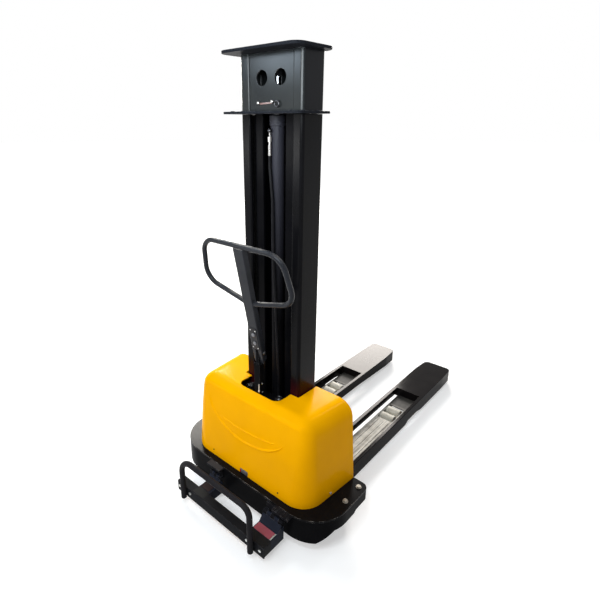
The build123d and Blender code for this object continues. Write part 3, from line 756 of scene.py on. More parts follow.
class STACKER_OT_deck(bpy.types.Operator):
    """Deck plate with its skirt and the caster bolts"""

    bl_idname = "stacker.deck"
    bl_label = "Deck"

    def execute(self, context):
        low, high = bounds_mm("deck")
        mast = bounds_mm("mast_rail_right")[1].x
        corners = [
            (low.x, high.y), (-mast, high.y), (-mast, 0), (mast, 0),
            (mast, high.y), (high.x, high.y), (high.x, low.y), (low.x, low.y),
        ]
        radii = (DECK_FRONT_BEND, 0, 0, 0, 0, DECK_FRONT_BEND, DECK_REAR_BEND, DECK_REAR_BEND)
        deck = prism("deck_plate", corners, (low.z, high.z), radii, steps=20)
        dress(soften(deck, 1.4), "black_paint", "deck", look="deck_paint")
        dress_copy("skirt", "deck_skirt", "black_paint", 1.2)
        foot = high.z + DECK_BOLT_RISE
        spots = [(side * x, y, foot) for side in (-1, 1) for x in DECK_BOLT_X for y in DECK_BOLT_Y]
        bolts = [hex_bolt("deck_bolt_heads", spot) for spot in spots]
        dress(join("deck_bolt_heads", *bolts), "zinc_steel", "deck_bolts", look="bolt_steel")
        return {'FINISHED'}


RAIL_RADII = (13, 9, 5, 3, 6, 6, 3, 7)
RAIL_FLANGE = 15
RAIL_WEB = 9
KNOB_X = 79
KNOB_Y = -42
KNOB_RADIUS = 18
KNOB_RIDGE = 0.9
KNOB_GROOVE = 0.4
KNOB_STEPS = 48
KNOB_GRIP = (474, 498)
KNOB_TOP = 505


def rail_corners(half, depth, lip):
    """The outline of a right channel rail, from the mast's half width, its depth and its flanges' reach."""
    inner, web = half - lip, half - RAIL_WEB
    return [
        (half, 0), (half, depth), (inner, depth), (inner, depth - RAIL_FLANGE), (web, depth - RAIL_FLANGE),
        (web, RAIL_FLANGE), (inner, RAIL_FLANGE), (inner, 0),
    ]


class STACKER_OT_mast(bpy.types.Operator):
    """Fixed mast: two channel rails, their ties and the knobs on the shelf"""

    bl_idname = "stacker.mast"
    bl_label = "Fixed mast"

    def execute(self, context):
        low, high = bounds_mm("mast_rail_right")
        corners = rail_corners(high.x, high.y, high.x - low.x)
        rail = soften(prism("mast_channel_right", corners, (low.z, high.z), RAIL_RADII), 0.8)
        # The rails' finish carries a painted reflection of the cover near their foot
        dress(mirrored(rail, "mast_channel_left"), "black_paint", "mast_rail_left", look="mast_with_cover_reflection")
        dress(rail, "black_paint", "mast_rail_right", look="mast_with_cover_reflection")
        dress_copy("mast_ties", "mast_tie_plates", "black_paint", 1.0, look="mast_paint")
        knobs = []
        for x in (-KNOB_X, KNOB_X):
            knobs += [self.grip(x), self.lid(x)]
        dress(join("knob_grips", *knobs), "black_paint", body="chassis", look="knob_black")
        return {'FINISHED'}

    def grip(self, x):
        """The ridged rim of a knob."""
        rim = []
        for k in range(KNOB_STEPS):
            turn = 2 * math.pi * k / KNOB_STEPS
            reach = KNOB_RADIUS + (KNOB_RIDGE if k % 4 < 2 else -KNOB_GROOVE)
            rim.append((x + reach * math.cos(turn), KNOB_Y + reach * math.sin(turn)))
        return soften(prism("knob_grips", rim, KNOB_GRIP), 0.5)

    def lid(self, x):
        """The lid of a knob, with a groove round its middle."""
        face = [(AXIS, -1.5), (AXIS, 0), (8, 0), (9, -1), (11, -1), (12, 0), (13.5, -1.5)]
        return turned("knob_lid", raised(KNOB_TOP, face), (x, KNOB_Y), "Z")


# Lift cylinder
BARREL_BORE = 20
GLAND_BORE = 15.05
PISTON_RADIUS = 19.95
ROD_RADIUS = 15
ROD_TOP = 1722
FITTING_SPOT = (-10, 9)
FITTING_FOOT = 1458
FITTING_STEPS = 28
NUT_SPAN = (1506, 1524)
ELBOW_HEIGHT = 1545


class STACKER_OT_cylinder(bpy.types.Operator):
    """Lift cylinder: barrel, gland, chromed rod, hose fitting and hose"""

    bl_idname = "stacker.cylinder"
    bl_label = "Lift cylinder"

    def execute(self, context):
        steps = context.scene.stacker_sizes.lathe_steps
        low, high = bounds_mm("cylinder_barrel")
        middle = (0, (low.y + high.y) / 2)
        radius = (high.x - low.x) / 2
        profile = raised(low.z, [
            (BARREL_BORE, 16), (AXIS, 16), (AXIS, 0), (radius, 0), (radius, 22), (radius + 0.8, 24),
            (radius, 26),
        ])
        profile += raised(high.z, [
            (radius, -14), (radius - 0.6, -13), (radius, -12), (radius, -1), (radius - 1, 0),
            (BARREL_BORE, 0),
        ])
        dress(turned("barrel_tube", profile, middle, "Z", steps), "barrel_paint", "cylinder_barrel")
        low, high = bounds_mm("cylinder_gland")
        radius = (high.x - low.x) / 2
        profile = raised(low.z, [
            (GLAND_BORE, 0), (radius - 2, 0), (radius, 2), (radius, 9), (radius - 1.5, 10),
            (radius - 1.5, 13), (radius, 14),
        ])
        profile += raised(high.z, [(radius, -5), (radius - 5, 0), (18, 0), (17, -3), (GLAND_BORE, -3)])
        dress(turned("barrel_gland", profile, middle, "Z", steps), "barrel_paint", "cylinder_gland")
        low, high = bounds_mm("piston_rod")
        profile = raised(low.z, [
            (AXIS, 0), (19.9, 0), (PISTON_RADIUS, 2), (PISTON_RADIUS, 28), (19, 30), (ROD_RADIUS, 30),
        ])
        profile += [(ROD_RADIUS, ROD_TOP), (AXIS, ROD_TOP)]
        dress(turned("chromed_rod", profile, middle, "Z", steps), "rod_chrome", "piston_rod")
        profile = raised(ROD_TOP, [(AXIS, 0), (16.5, 0), (18, 1.5), (18, 30), (17, 31), (17, 33), (18, 34)])
        profile += [(18, high.z), (AXIS, high.z)]
        dress(turned("rod_head", profile, middle, "Z", steps), "black_paint", body="lift")
        profile = raised(FITTING_FOOT, [
            (AXIS, 0), (6, 0), (6.5, 1), (6.5, 17), (5.9, 18), (5.9, 21), (6.5, 22), (6.5, 37),
            (5, 38), (5, 49), (3, 49), (3, 83), (AXIS, 83),
        ])
        sleeve = turned("hose_end_fitting", profile, FITTING_SPOT, "Z", FITTING_STEPS)
        nut = soften(disc("hose_nut", FITTING_SPOT, 7.5, NUT_SPAN, "Z", steps=6), 0.9)
        dress(join("hose_end_fitting", sleeve, nut), "zinc_steel", "hose_fitting", look="guide_steel")
        profile = [(AXIS, 1), (5.5, 3), (7.5, 6), (7.6, 11), (7, 14), (7, 36), (AXIS, 36)]
        elbow = turned("hose_elbow", profile, (FITTING_SPOT[0], ELBOW_HEIGHT), "Y", FITTING_STEPS, angle=60)
        dress(elbow, "zinc_steel", body="chassis", look="dark_steel")
        dress_copy("hose", "lift_hose", "hose_rubber", 0.5)
        return {'FINISHED'}


# Moulded cover, with the front edge and the rear corner of its right wall at the foot and at the head
WALL_LOW = ((358, 114), (330, -180))
WALL_HIGH = ((332, 114), (306, -136))
WALL_FOOT = 161
WALL_HEAD = 520
COVER_FRONT = 114
COVER_TOP = 521
SHOULDER = 470
TOP_SLOPE = 0.022
COVER_ANGLE = 42
# Radius of the rear corners at the foot and at the head, and the least that an inset row keeps
CORNER_BEND = (100, 56)
LEAST_BEND = 10
SIDE_STEPS = 14
CORNER_STEPS = 18
REAR_STEPS = 20

# Heights of the shell's rows and how far the wall stands in there, at the sides and at the rear
SIDE_LEVELS = [
    (161, 0), (230, 0), (300, 0), (370, 0), (430, 0), (455, 0.4), (468, 2), (480, 5), (490, 9.5), (498, 15),
    (504.5, 21), (510, 28), (513.2, 33), (515.4, 37.4), (517, 41.6), (518.3, 46), (519.4, 51), (520.5, 58),
    (521, 66),
]
REAR_LEVELS = [
    (161, 0), (230, 0), (300, 0), (370, 0), (430, 0), (455, 0), (475, 0), (484, 0), (487.7, 0.3),
    (491.2, 1.2), (494.6, 2.7), (497.6, 4.7), (500.3, 7.3), (502.6, 10.2), (510, 22), (516.2, 31.6),
    (518.6, 36), (520.4, 44), (521, 56),
]

COVER_GAPS = {
    "stem_gap": {
        "corners": rectangle((-112, 112), (40, -92)), "span": (400, 600), "radii": (0, 0, 34, 34),
        "steps": 12,
    },
    "mast_gap": {"corners": rectangle((-152, 152), (130, -6)), "span": (100, 600), "radii": (0, 0, 8, 8)},
    "notch": {
        "corners": rectangle((-24, 24), (150, 182)), "span": (-230, -120), "radii": (0, 0, 5, 5),
        "axis": "Y",
    },
}
COVER_RIBS = {
    "cover_crescent": {
        "middle": (-11.5, 296), "radii": (229, 146), "ends": (-86, 67.5), "tilt": 0, "deep": 14, "lift": 4.5,
    },
    "cover_arc": {
        "middle": (-3, 222.5), "radii": (158, 22), "ends": (-80, 78), "tilt": 2.3, "deep": 9, "lift": 2.5,
    },
}
RIB_GRID = (96, 12)
RIB_TAPER = 12
RIB_SWELL = 1.6
RIB_SINK = 0.3
RIB_WALL = 1.5
COVER_SCREW_X = 191
COVER_SCREW_Z = 183
SIDE_BOLT_SPOT = (-32, 175)


def wall_outline(z, inset=0):
    """The cover's wall at one height from front right to front left: place, outward way, share of rear."""
    rise = (z - WALL_FOOT) / (WALL_HEAD - WALL_FOOT)
    front, corner = (Vector(low).lerp(Vector(high), rise) for low, high in zip(WALL_LOW, WALL_HIGH))
    radius = CORNER_BEND[1] + (CORNER_BEND[0] - CORNER_BEND[1]) * (1 - rise) ** 2
    radius = max(radius, inset + LEAST_BEND)
    along = (front - corner).normalized()
    across = Vector((-1, 0))
    half = math.acos(along.dot(across)) / 2
    reach = radius / math.tan(half)
    start, stop = corner + along * reach, corner + across * reach
    centre = corner + (along + across).normalized() * (radius / math.sin(half))
    side_out = Vector((along.y, -along.x))
    spots = [(front.lerp(start, k / SIDE_STEPS), side_out, 0.0) for k in range(SIDE_STEPS)]
    first = math.atan2(start.y - centre.y, start.x - centre.x)
    last = math.atan2(stop.y - centre.y, stop.x - centre.x)
    for k in range(CORNER_STEPS + 1):
        turn = first + (last - first) * k / CORNER_STEPS
        way = Vector((math.cos(turn), math.sin(turn)))
        share = k / CORNER_STEPS
        spots.append((centre + way * radius, way, share * share * (3 - 2 * share)))
    other = [(Vector((-s.x, s.y)), Vector((-w.x, w.y)), share) for s, w, share in reversed(spots)]
    for k in range(1, REAR_STEPS):
        spots.append((stop.lerp(Vector((-stop.x, stop.y)), k / REAR_STEPS), Vector((0, -1)), 1.0))
    return spots + other


class STACKER_OT_cover(bpy.types.Operator):
    """Moulded cover: tapered wall, creased shoulders, plateau, cut-outs and crescent ribs"""

    bl_idname = "stacker.cover"
    bl_label = "Cover"

    def execute(self, context):
        cover = self.shell()
        wall = context.scene.stacker_sizes.cover_wall * MM
        apply(cover, 'SOLIDIFY', thickness=wall, offset=-1, use_even_offset=True)
        cut(cover, *[prism(name, **gap) for name, gap in COVER_GAPS.items()])
        take(cover)
        bpy.ops.object.shade_smooth_by_angle(angle=math.radians(COVER_ANGLE))
        dress(cover, "cover_yellow", "cover")
        for name, sizes in COVER_RIBS.items():
            dress(self.rib(name, **sizes), "cover_yellow", body="chassis")
        profile = screw_head(radius=3.4, chamfer=1.0, foot=-177.5, rim=-178.7, top=-179.7)
        places = [(x, COVER_SCREW_Z) for x in (-COVER_SCREW_X, COVER_SCREW_X)]
        screws = [turned("cover_screws", profile, place, "Y", steps=24) for place in places]
        dress(join("cover_screws", *screws), "zinc_steel", body="chassis", look="black_paint")
        profile = screw_head(radius=5.5, chamfer=1.5, foot=342, rim=346.4, top=347.6)
        bolt = turned("cover_side_bolt", profile, SIDE_BOLT_SPOT, "X", steps=24)
        dress(bolt, "zinc_steel", body="chassis", look="bolt_steel")
        return {'FINISHED'}

    def shell(self):
        """The outer skin: a grid bent round the wall, closed at the top and the front."""
        foot = wall_outline(WALL_FOOT)
        columns, levels = len(foot), len(SIDE_LEVELS)
        fresh()
        bpy.ops.mesh.primitive_grid_add(x_subdivisions=columns - 1, y_subdivisions=levels - 1, size=2)
        cover = named("cover_shell")
        for vertex in cover.data.vertices:
            i = round((vertex.co.x + 1) / 2 * (columns - 1))
            j = round((vertex.co.y + 1) / 2 * (levels - 1))
            share = foot[i][2]
            z = SIDE_LEVELS[j][0] * (1 - share) + REAR_LEVELS[j][0] * share
            inset = SIDE_LEVELS[j][1] * (1 - share) + REAR_LEVELS[j][1] * share
            spot, way, _ = wall_outline(z, SIDE_LEVELS[j][1])[i]
            spot -= way * inset
            vertex.co = at(spot.x, min(spot.y, COVER_FRONT), z)
        limit = at(0, COVER_FRONT - 0.1, COVER_TOP - 0.01)
        for axis in (2, 1):
            shape = edit(cover, 'EDGE')
            pick(cover, shape, [e for e in shape.edges if all(v.co[axis] > limit[axis] for v in e.verts)])
            bpy.ops.mesh.edge_face_add()
        outward(cover)
        shoulder, crest, rear = SHOULDER * MM, COVER_TOP * MM, at(0, WALL_HIGH[1][1], 0).y
        for vertex in cover.data.vertices:
            raised = max(0, vertex.co.z - shoulder) / (crest - shoulder)
            vertex.co.z -= TOP_SLOPE * raised * (vertex.co.y - rear)
        return cover

    def rib(self, name, middle, radii, ends, tilt, deep, lift):
        """A ledge along an elliptic arc, rising towards its lower edge, laid on the leaning rear wall."""
        fresh()
        bpy.ops.mesh.primitive_grid_add(x_subdivisions=RIB_GRID[0], y_subdivisions=RIB_GRID[1], size=2)
        rib = named(name)
        slope = math.tan(math.radians(tilt))
        for vertex in rib.data.vertices:
            down = (1 - vertex.co.y) / 2
            taper = 1 - vertex.co.x ** RIB_TAPER
            turn = math.radians(ends[0] + (ends[1] - ends[0]) * (vertex.co.x + 1) / 2)
            spot = Vector((radii[0] * math.sin(turn), -radii[1] * math.cos(turn)))
            way = Vector((radii[1] * math.sin(turn), -radii[0] * math.cos(turn))).normalized()
            spot += way * deep * (down - 0.5) * taper
            swell = math.sin(math.pi * down ** RIB_SWELL) * taper
            depth = RIB_SINK - (lift + RIB_SINK) * swell
            vertex.co = at(middle[0] + spot.x, depth, middle[1] + spot.y + slope * spot.x)
        lean = math.atan2(WALL_LOW[1][1] - WALL_HIGH[1][1], WALL_HEAD - WALL_FOOT)
        tipped(rib, (0, WALL_LOW[1][1], WALL_FOOT), lean)
        apply(rib, 'SOLIDIFY', thickness=RIB_WALL * MM, offset=-1)
        return smooth(outward(rib), angle=60)


class STACKER_OT_under_cover(bpy.types.Operator):
    """Battery, power unit, charge socket and lamp"""

    bl_idname = "stacker.under_cover"
    bl_label = "Under the cover"

    def execute(self, context):
        dress_copy("battery", "battery_box", "battery_case", 1.0)
        dress_copy("power_unit", "pump_and_motor", "unit_paint", 1.5)
        dress_copy("charge_socket", "charge_inlet", "socket_plastic", 1.0, shortest=3)
        dress_copy("charge_lamp", "charge_light", "lamp_red", 0.8, shortest=2)
        return {'FINISHED'}


# Sliding mast and head
HEAD_BEND = 40
HEAD_LIP = 45
ROD_HOLE_SPOT = (0, 40)
ROD_HOLE_RADIUS = 22
BACK_PLATE_HALF = 101
BACK_PLATE_SPAN = (5, 11)
BACK_HOLE_X = 43
BACK_HOLE_Z = 1717
BACK_HOLE_RADIUS = 26
FRONT_PLATE_FOOT = 1650
FRONT_PLATE_THICK = 6
CLAMP_CORNERS = [(-50, 1631), (14, 1633), (14, 1639), (-50, 1637)]
CLAMP_SCREW_SPOTS = ((-53, 1636), (12, 1639))
CLAMP_RING_SPOT = (33, 1632)


class STACKER_OT_head(bpy.types.Operator):
    """Head of the sliding mast: plates, rails, clamp bar and bolts"""

    bl_idname = "stacker.head"
    bl_label = "Head"

    def execute(self, context):
        flange = self.plate("flange_plate", "head_flange")
        cut(flange, disc("rod_hole", ROD_HOLE_SPOT, ROD_HOLE_RADIUS, (1500, 1700), "Z"))
        dress(soften(flange, 1.2, 3), "head_paint", "flange_plate", look="plate_paint")
        top = self.plate("top_plate", "head_top_plate")
        dress(soften(top, 2.5, 3), "head_paint", "top_plate", look="plate_paint")
        low, high = bounds_mm("head_rails")
        right = prism("head_rails", rail_corners(high.x, high.y, HEAD_LIP), (low.z, high.z), RAIL_RADII)
        pair = smooth(join("head_channel_pair", right, mirrored(right, "left")))
        # The rails' finish darkens the right rail's outer face as painted shade
        dress(pair, "head_paint", "head_rails", look="head_rail_with_painted_shade")
        low, high = bounds_mm("head_plate")
        corners = rectangle((-BACK_PLATE_HALF, BACK_PLATE_HALF), (low.z, high.z))
        back = prism("head_back_plate", corners, BACK_PLATE_SPAN, axis="Y")
        spots = [(x, BACK_HOLE_Z) for x in (-BACK_HOLE_X, BACK_HOLE_X)]
        cut(back, *[disc("hole", spot, BACK_HOLE_RADIUS, (-10, 30), "Y", steps=56) for spot in spots])
        corners = rectangle((low.x, high.x), (FRONT_PLATE_FOOT, high.z))
        front = prism("head_front", corners, (high.y - FRONT_PLATE_THICK, high.y), axis="Y")
        dress(soften(join("head_back_plate", back, front), 0.9), "head_paint", "head_plate")
        bar = prism("clamp_bar", CLAMP_CORNERS, (0, 5), (3, 3, 3, 3), axis="Y")
        dress(soften(bar, 1.0), "zinc_steel", "head_clamp", look="clamp_rust")
        profile = [(AXIS, 2), (6, 2), (6, -3), (5, -6), (2.6, -7), (2.2, -5), (AXIS, -5)]
        heads = [turned("clamp_screws", profile, spot, "Y", steps=28) for spot in CLAMP_SCREW_SPOTS]
        dress(join("clamp_screws", *heads), "zinc_steel", body="lift")
        loop = turned("clamp_ring", ring((9, -2), 2.4, 10), CLAMP_RING_SPOT, "Y", steps=36, angle=60)
        dress(loop, "zinc_steel", body="lift", look="dark_steel")
        dress_copy("flange_bolts", "flange_bolt_heads", "zinc_steel", 0.7, shortest=3, look="plate_paint")
        return {'FINISHED'}

    def plate(self, node, name):
        """A level plate with rounded corners in the box of a frame solid."""
        low, high = bounds_mm(node)
        corners = rectangle((low.x, high.x), (high.y, low.y))
        return prism(name, corners, (low.z, high.z), (HEAD_BEND,) * 4, steps=14)


class STACKER_OT_sliding_mast(bpy.types.Operator):
    """Inner rails with their guide rollers"""

    bl_idname = "stacker.sliding_mast"
    bl_label = "Sliding mast"

    def execute(self, context):
        dress_copy("inner_rails", "inner_channels", "black_paint", 0.8, look="inner_paint")
        for label in ("low", "high"):
            wheel_pair("guide_wheel_%s_" + label, "guide_roller_%s_" + label, "guide_steel", guide_face)
        return {'FINISHED'}


# Forks and legs
FORK_UNDERSIDE = 40
FORK_TIP = 1350
TIP_FOOT = 7
TIP_SHARE = 0.36
FORK_INNER_RAIL = 114
INNER_RAIL_FOOT = 38
INNER_RAIL_TAPER = 900
INNER_RAIL_RUN = 28
FORK_BORE = 8.05
LEG_BORE = 7.05


class STACKER_OT_forks(bpy.types.Operator):
    """Carriage and forks with their rollers"""

    bl_idname = "stacker.forks"
    bl_label = "Carriage and forks"

    def execute(self, context):
        dress_copy("carriage", "carriage_plate", "fork_paint", 1.5)
        fork = copy_of("fork_right", "fork_arm_right")
        for vertex in fork.data.vertices:
            place = (vertex.co - at(0, 0, 0)) / MM
            if place.z >= FORK_UNDERSIDE:
                continue
            if place.y > FORK_TIP:
                vertex.co.z = (TIP_FOOT + TIP_SHARE * place.z) * MM
            elif place.x < FORK_INNER_RAIL:
                fall = max(0, place.y - INNER_RAIL_TAPER) / INNER_RAIL_RUN
                vertex.co.z = (INNER_RAIL_FOOT - fall) * MM
        soften(fork, 2.0, 3, shortest=4)
        dress(mirrored(fork, "fork_arm_left"), "fork_paint", "fork_left")
        dress(fork, "fork_paint", "fork_right")
        dress_copy("fork_axles", "fork_pins", "zinc_steel", 0.8, shortest=9)
        wheel_pair("fork_wheel_%s", "fork_roller_%s", "roller_nylon", nylon_face, bore=FORK_BORE)
        return {'FINISHED'}


class STACKER_OT_legs(bpy.types.Operator):
    """Galvanised support legs with brackets, axles and rollers"""

    bl_idname = "stacker.legs"
    bl_label = "Support legs"

    def execute(self, context):
        dress_copy("legs", "leg_channels", "leg_steel", 1.2)
        dress_copy("leg_brackets", "leg_roller_brackets", "leg_steel", 1.0)
        dress_copy("leg_axles", "leg_pins", "zinc_steel", 0.8, shortest=9)
        for label in ("rear", "front"):
            names = ("leg_wheel_%s_" + label, "leg_roller_%s_" + label)
            wheel_pair(*names, "roller_nylon", nylon_face, bore=LEG_BORE)
        return {'FINISHED'}


# Handle, with the tilting parts drawn upright about the pivot
HANDLE_LEAN = math.radians(11.8)
PIVOT = (0, -72, 705)
LOOP_HALF = [(20, 0, 226), (230, 0, 281), (197, 0, 462)]
LOOP_RADIUS = 10
LOOP_BEND = 58
WELD_X = 25.6
WELD_Z = 227.6
WELD_REACH = (10.6, 10.9)
WELD_RADIUS = 2.0
WELD_STEPS = 12
HANDLE_SCREW_X = 13
HANDLE_SCREW_Z = (25.5, 107.5)
STEM_PIN_SPOT = (13, -90.4)
STEM_BOLT_Y = -73
STEM_BOLT_Z = (519, 560)


class STACKER_OT_handle(bpy.types.Operator):
    """Stem, tilting post, bent loop, button plate, buttons and screws"""

    bl_idname = "stacker.handle"
    bl_label = "Handle"

    def execute(self, context):
        dress_copy("handle_stem", "handle_stand", "black_paint", 2.0, segments=3)
        dress_copy("handle_post", "handle_upright", "handle_paint", 1.0)
        path = LOOP_HALF + [(-x, y, z) for x, y, z in reversed(LOOP_HALF)]
        loop = tube("handle_bow", path, LOOP_RADIUS, (LOOP_BEND,) * (len(path) - 2))
        dress(self.leaned(loop), "handle_paint", "handle_loop")
        seams = [weld("handle_welds", self.weld_ring(side), WELD_RADIUS) for side in (-1, 1)]
        dress(self.leaned(join("handle_welds", *seams)), "handle_paint", body="handle")
        dress_copy("button_plate", "button_panel", "plate_plastic", 0.5, shortest=2)
        profile = [(AXIS, -14.5), (2.8, -14.5), (2.6, -15.4), (1.6, -16), (1.2, -15.6), (AXIS, -15.6)]
        spots = [(x, z) for x in (-HANDLE_SCREW_X, HANDLE_SCREW_X) for z in HANDLE_SCREW_Z]
        heads = [turned("handle_screw_heads", profile, spot, "Y", steps=24) for spot in spots]
        dress(self.leaned(join("handle_screw_heads", *heads)), "zinc_steel", "handle_screws")
        profile = two_faced([(AXIS, 0), (5.5, 0), (8, 1.4), (8, 6), (6, 6)], -31, 31)
        pivot = turned("pivot_bolt", profile, (0, 0), "X", steps=32)
        dress(self.leaned(pivot), "zinc_steel", body="handle", look="dark_steel")
        for label in ("up", "down"):
            dress_copy("button_" + label, "push_button_" + label, "button_grey", 0.5, shortest=20)
        profile = [
            (AXIS, 527), (3, 527.5), (4.6, 531), (3.4, 535), (2.2, 537), (2.2, 562), (1.4, 564), (AXIS, 564),
        ]
        bolts = [turned("stem_pin", profile, STEM_PIN_SPOT, "Z", steps=24, angle=50)]
        profile = two_faced([(AXIS, 0), (3.2, 0), (4, 1)], -17, 17)
        bolts += [turned("stem_bolt", profile, (STEM_BOLT_Y, z), "X", steps=24) for z in STEM_BOLT_Z]
        dress(join("stem_pin", *bolts), "zinc_steel", body="chassis")
        return {'FINISHED'}

    def leaned(self, piece):
        return tipped(piece, PIVOT, HANDLE_LEAN)

    def weld_ring(self, side):
        """Points round the loop where it enters the post."""
        turns = [2 * math.pi * k / WELD_STEPS for k in range(WELD_STEPS + 1)]
        wide, high = WELD_REACH
        return [(side * WELD_X, wide * math.cos(turn), WELD_Z + high * math.sin(turn)) for turn in turns]


# Hinged rear frame and casters
SLAT_COUNT = 6
SLAT_FIRST = 217
SLAT_PITCH = 13.6
SLAT_HALF = 3
SLAT_HEIGHT = (158, 159.8)
SLAT_SPAN = (-235, -209)
LUG_CAP_CORNERS = rectangle((-173, -94), (-208.5, -235))
LUG_CAP_HEIGHT = (157.5, 159.4)
TUBE_BENDS = (70, 40)
TREAD_RIGHT = (164, 248)
TREAD_LEFT = (-157, -105)
STRIP_CORNERS = rectangle((249, 254), (78, 80.4))


class STACKER_OT_rear_frame(bpy.types.Operator):
    """Hinged rear frame: arms, bar, bent tube, bolts, treads and hinge leaves"""

    bl_idname = "stacker.rear_frame"
    bl_label = "Rear frame"

    def execute(self, context):
        dress_copy("hinge_leaves", "hinge_leaf_pair", "black_paint", 0.8, look="leaf_grey")
        slats = []
        for k in range(SLAT_COUNT):
            x = SLAT_FIRST + SLAT_PITCH * k
            corners = rectangle((x - SLAT_HALF, x + SLAT_HALF), SLAT_HEIGHT)
            slats.append(soften(prism("leaf_slats", corners, SLAT_SPAN, axis="Y"), 0.8))
        dress(join("leaf_slats", *slats), "black_paint", body="chassis", look="leaf_grey")
        cap = soften(prism("lug_cap", LUG_CAP_CORNERS, LUG_CAP_HEIGHT, (3, 3, 3, 3)), 0.7)
        dress(cap, "black_paint", body="chassis", look="leaf_light")
        dress_copy("frame_arms", "frame_arm_plates", "black_paint", 1.0, look="arm_navy")
        dress_copy("frame_bar", "frame_cross_bar", "black_paint", 1.2, look="bar_navy")
        low, high = bounds_mm("frame_tube")
        radius = (high.y - low.y) / 2
        y, left, right, top = low.y + radius, low.x + radius, high.x - radius, high.z - radius
        path = [(left, y, low.z), (left, y, top), (right, y, top), (right, y, low.z)]
        dress(tube("frame_bow", path, radius, TUBE_BENDS), "black_paint", "frame_tube", look="tube_black")
        dress_copy("frame_bolts", "frame_rivets", "zinc_steel", 0.8, shortest=20)
        dress(self.tread("tread_pad_right", TREAD_RIGHT), "tread_red", "frame_treads")
        dress(self.tread("tread_pad_left", TREAD_LEFT), "tread_red", body="rear_frame", look="tread_dark")
        low, high = bounds_mm("frame_treads")
        strip = soften(prism("tread_strip", STRIP_CORNERS, (low.y, high.y), axis="Y"), 0.4)
        dress(strip, "zinc_steel", body="rear_frame", look="strip_pale")
        return {'FINISHED'}

    def tread(self, name, x):
        """A pad between two places across, in the box of the frame's treads."""
        low, high = bounds_mm("frame_treads")
        corners = rectangle(x, (high.y, low.y))
        return soften(prism(name, corners, (low.z, high.z), (2, 2, 2, 2)), 0.6)


class STACKER_OT_casters(bpy.types.Operator):
    """Swivel casters under the deck"""

    bl_idname = "stacker.casters"
    bl_label = "Casters"

    def execute(self, context):
        dress_copy("caster_plates", "caster_top_plates", "caster_steel", 0.8)
        wheel_pair("caster_tread_%s", "caster_tyre_%s", "caster_tread", tyre_face)
        for side in ("right", "left"):
            dress_copy("caster_yoke_" + side, "caster_fork_" + side, "caster_steel", 1.0)
            dress_copy("caster_hub_" + side, "caster_core_" + side, "caster_hub", 0.8, shortest=9)
        return {'FINISHED'}


# Stage
WHITE = (1, 1, 1, 1)
FLOOR_RADIUS = 40
FLOOR_TONES = ((0.70, 0.70, 0.70, 1), (0.73, 0.73, 0.73, 1))
FLOOR_FADE = (1.6, 6.0)
FLOOR_GLOW = (0.45, 0.95)

# Lights: place, target, width, height, power and tint; the key light's power is a setting
KEY_LIGHT = ((-1.92, -3.09, 1.3), (0, -0.65, 0.47), 1.2, 0.35)
LAMPS = {
    "top_light": ((0, -2.6, 2.0), (0, -0.6, 0.45), 1.2, 0.8, 17),
    "handle_glow": ((-2.3, -0.55, 3.1), (0, -0.75, 1.1), 0.8, 0.6, 24, (0.85, 0.95, 1)),
    "side_strip": ((0.7, 2.2, 3.4), (0.3, -0.5, 0.5), 0.7, 0.5, 14),
    "window": ((-3.46, 2.85, 3.8), (-0.2, -0.3, 0.3), 3.0, 1.6, 40),
    "fork_glare": ((-3.55, 6.41, 4.15), (0, 0.5, 0.09), 1.68, 2.7, 513, (1, 0.94, 0.88)),
    "deck_glare": ((-2.37, 0.84, 1.93), (-0.42, -0.6, 0.16), 0.7, 0.5, 44, (1, 0.96, 0.88)),
    "head_glow": ((-0.72, -1.42, 2.01), (0.02, -0.5, 1.75), 0.34, 0.35, 5.2, (0.72, 0.86, 1)),
    "corner_light": ((0.45, -1.46, 1.8), (0, -0.51, 1.7), 0.9, 0.35, 20, (0.85, 0.94, 1)),
}


def background_rays(tree):
    """One for the rays that see the background itself: camera, glossy and transmission rays."""
    path = add(tree, 'ShaderNodeLightPath').outputs
    seen = maths(tree, 'MAXIMUM', path["Is Camera Ray"], path["Is Glossy Ray"])
    return maths(tree, 'MAXIMUM', seen, path["Is Transmission Ray"])


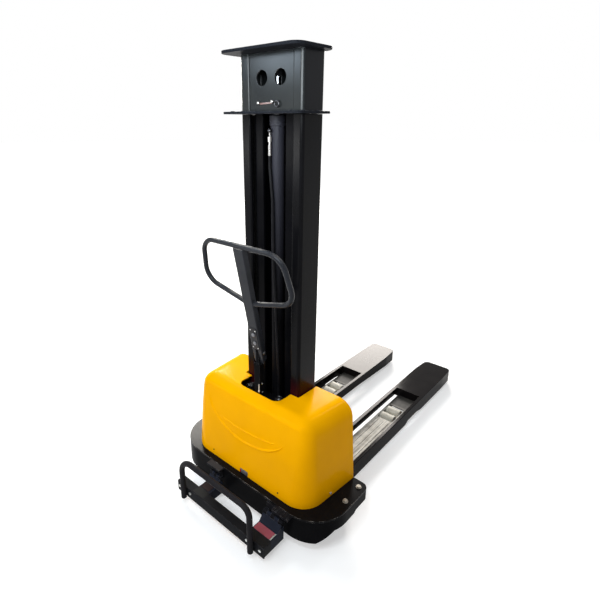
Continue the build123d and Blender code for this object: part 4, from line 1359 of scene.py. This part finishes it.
class STACKER_OT_stage(bpy.types.Operator):
    """Floor, world, lights and camera"""

    bl_idname = "stacker.stage"
    bl_label = "Stage"

    def execute(self, context):
        stage = context.scene.stacker_stage
        self.floor()
        world = bpy.data.worlds.new("Studio")
        context.scene.world = world
        world.use_nodes = True
        tree = world.node_tree
        strength = ranged(tree, background_rays(tree), 0, 1, stage.ambient, 1.0)
        feed(tree, tree.nodes["Background"], {"Strength": strength, "Color": WHITE})
        self.lamp("key_light", *KEY_LIGHT, stage.key)
        for name, values in LAMPS.items():
            self.lamp(name, *values)
        data = bpy.data.cameras.new("Camera")
        camera = placed("Camera", data)
        camera.location = stage.camera_place
        camera.rotation_euler = stage.camera_turn
        data.sensor_width = 36
        data.lens = stage.lens
        data.shift_x, data.shift_y = stage.shift
        data.clip_end = 200
        context.scene.camera = camera
        context.scene.view_settings.view_transform = 'Standard'
        return {'FINISHED'}

    def floor(self):
        """A pale floor that fades into the white of the background."""
        fresh()
        bpy.ops.mesh.primitive_circle_add(
            vertices=96, radius=FLOOR_RADIUS, fill_type='NGON', location=(0, 0, 0))
        floor = named("floor")
        material = bpy.data.materials.new("Pale floor")
        material.use_nodes = True
        tree = material.node_tree
        place = own_place(tree)
        tone = ranged(tree, noise(tree, place, scale=3, detail=2), 0.3, 0.7)
        reach = add(tree, 'ShaderNodeVectorMath', {0: place}, operation='LENGTH').outputs["Value"]
        white = ranged(tree, reach, *FLOOR_FADE, *FLOOR_GLOW)
        glow = maths(tree, 'MULTIPLY', white, background_rays(tree))
        feed(tree, tree.nodes["Principled BSDF"], {
            "Base Color": mixed(tree, tone, *FLOOR_TONES), "Roughness": 0.9, "Specular IOR Level": 0.1,
            "Emission Color": WHITE, "Emission Strength": glow,
        })
        floor.data.materials.append(material)

    def lamp(self, name, place, target, width, height, power, tint=(1, 1, 1)):
        data = bpy.data.lights.new(name, 'AREA')
        data.shape = 'RECTANGLE'
        data.size, data.size_y, data.energy = width, height, power
        data.color = tint
        lamp = placed(name, data)
        lamp.location = place
        lamp.rotation_euler = (Vector(target) - Vector(place)).to_track_quat('-Z', 'Y').to_euler()
        lamp.visible_camera = False


PIECES = (
    STACKER_OT_deck, STACKER_OT_mast, STACKER_OT_cylinder, STACKER_OT_cover, STACKER_OT_under_cover,
    STACKER_OT_head, STACKER_OT_sliding_mast, STACKER_OT_forks, STACKER_OT_legs, STACKER_OT_handle,
    STACKER_OT_rear_frame, STACKER_OT_casters, STACKER_OT_stage,
)
SETTINGS = {"stacker_sizes": StackerSizes, "stacker_colours": StackerColours, "stacker_stage": StackerStage}


class STACKER_PT_panel(bpy.types.Panel):
    """Lists the stacker's pieces and settings in the sidebar"""

    bl_idname = "STACKER_PT_panel"
    bl_label = "Stacker"
    bl_space_type = 'VIEW_3D'
    bl_region_type = 'UI'
    bl_category = "Stacker"

    def draw(self, context):
        for piece in PIECES:
            self.layout.operator(piece.bl_idname)
        for name in SETTINGS:
            group = getattr(context.scene, name)
            for key in group.bl_rna.properties.keys():
                if key not in {"rna_type", "name"}:
                    self.layout.prop(group, key)


def register():
    for name, group in SETTINGS.items():
        bpy.utils.register_class(group)
        setattr(bpy.types.Scene, name, PointerProperty(type=group))
    for piece in PIECES:
        bpy.utils.register_class(piece)
    bpy.utils.register_class(STACKER_PT_panel)


def unregister():
    bpy.utils.unregister_class(STACKER_PT_panel)
    for piece in reversed(PIECES):
        bpy.utils.unregister_class(piece)
    for name, group in SETTINGS.items():
        delattr(bpy.types.Scene, name)
        bpy.utils.unregister_class(group)


def main():
    register()
    for piece in PIECES:
        family, operator = piece.bl_idname.split(".")
        getattr(getattr(bpy.ops, family), operator)()


if __name__ == "__main__":
    main()
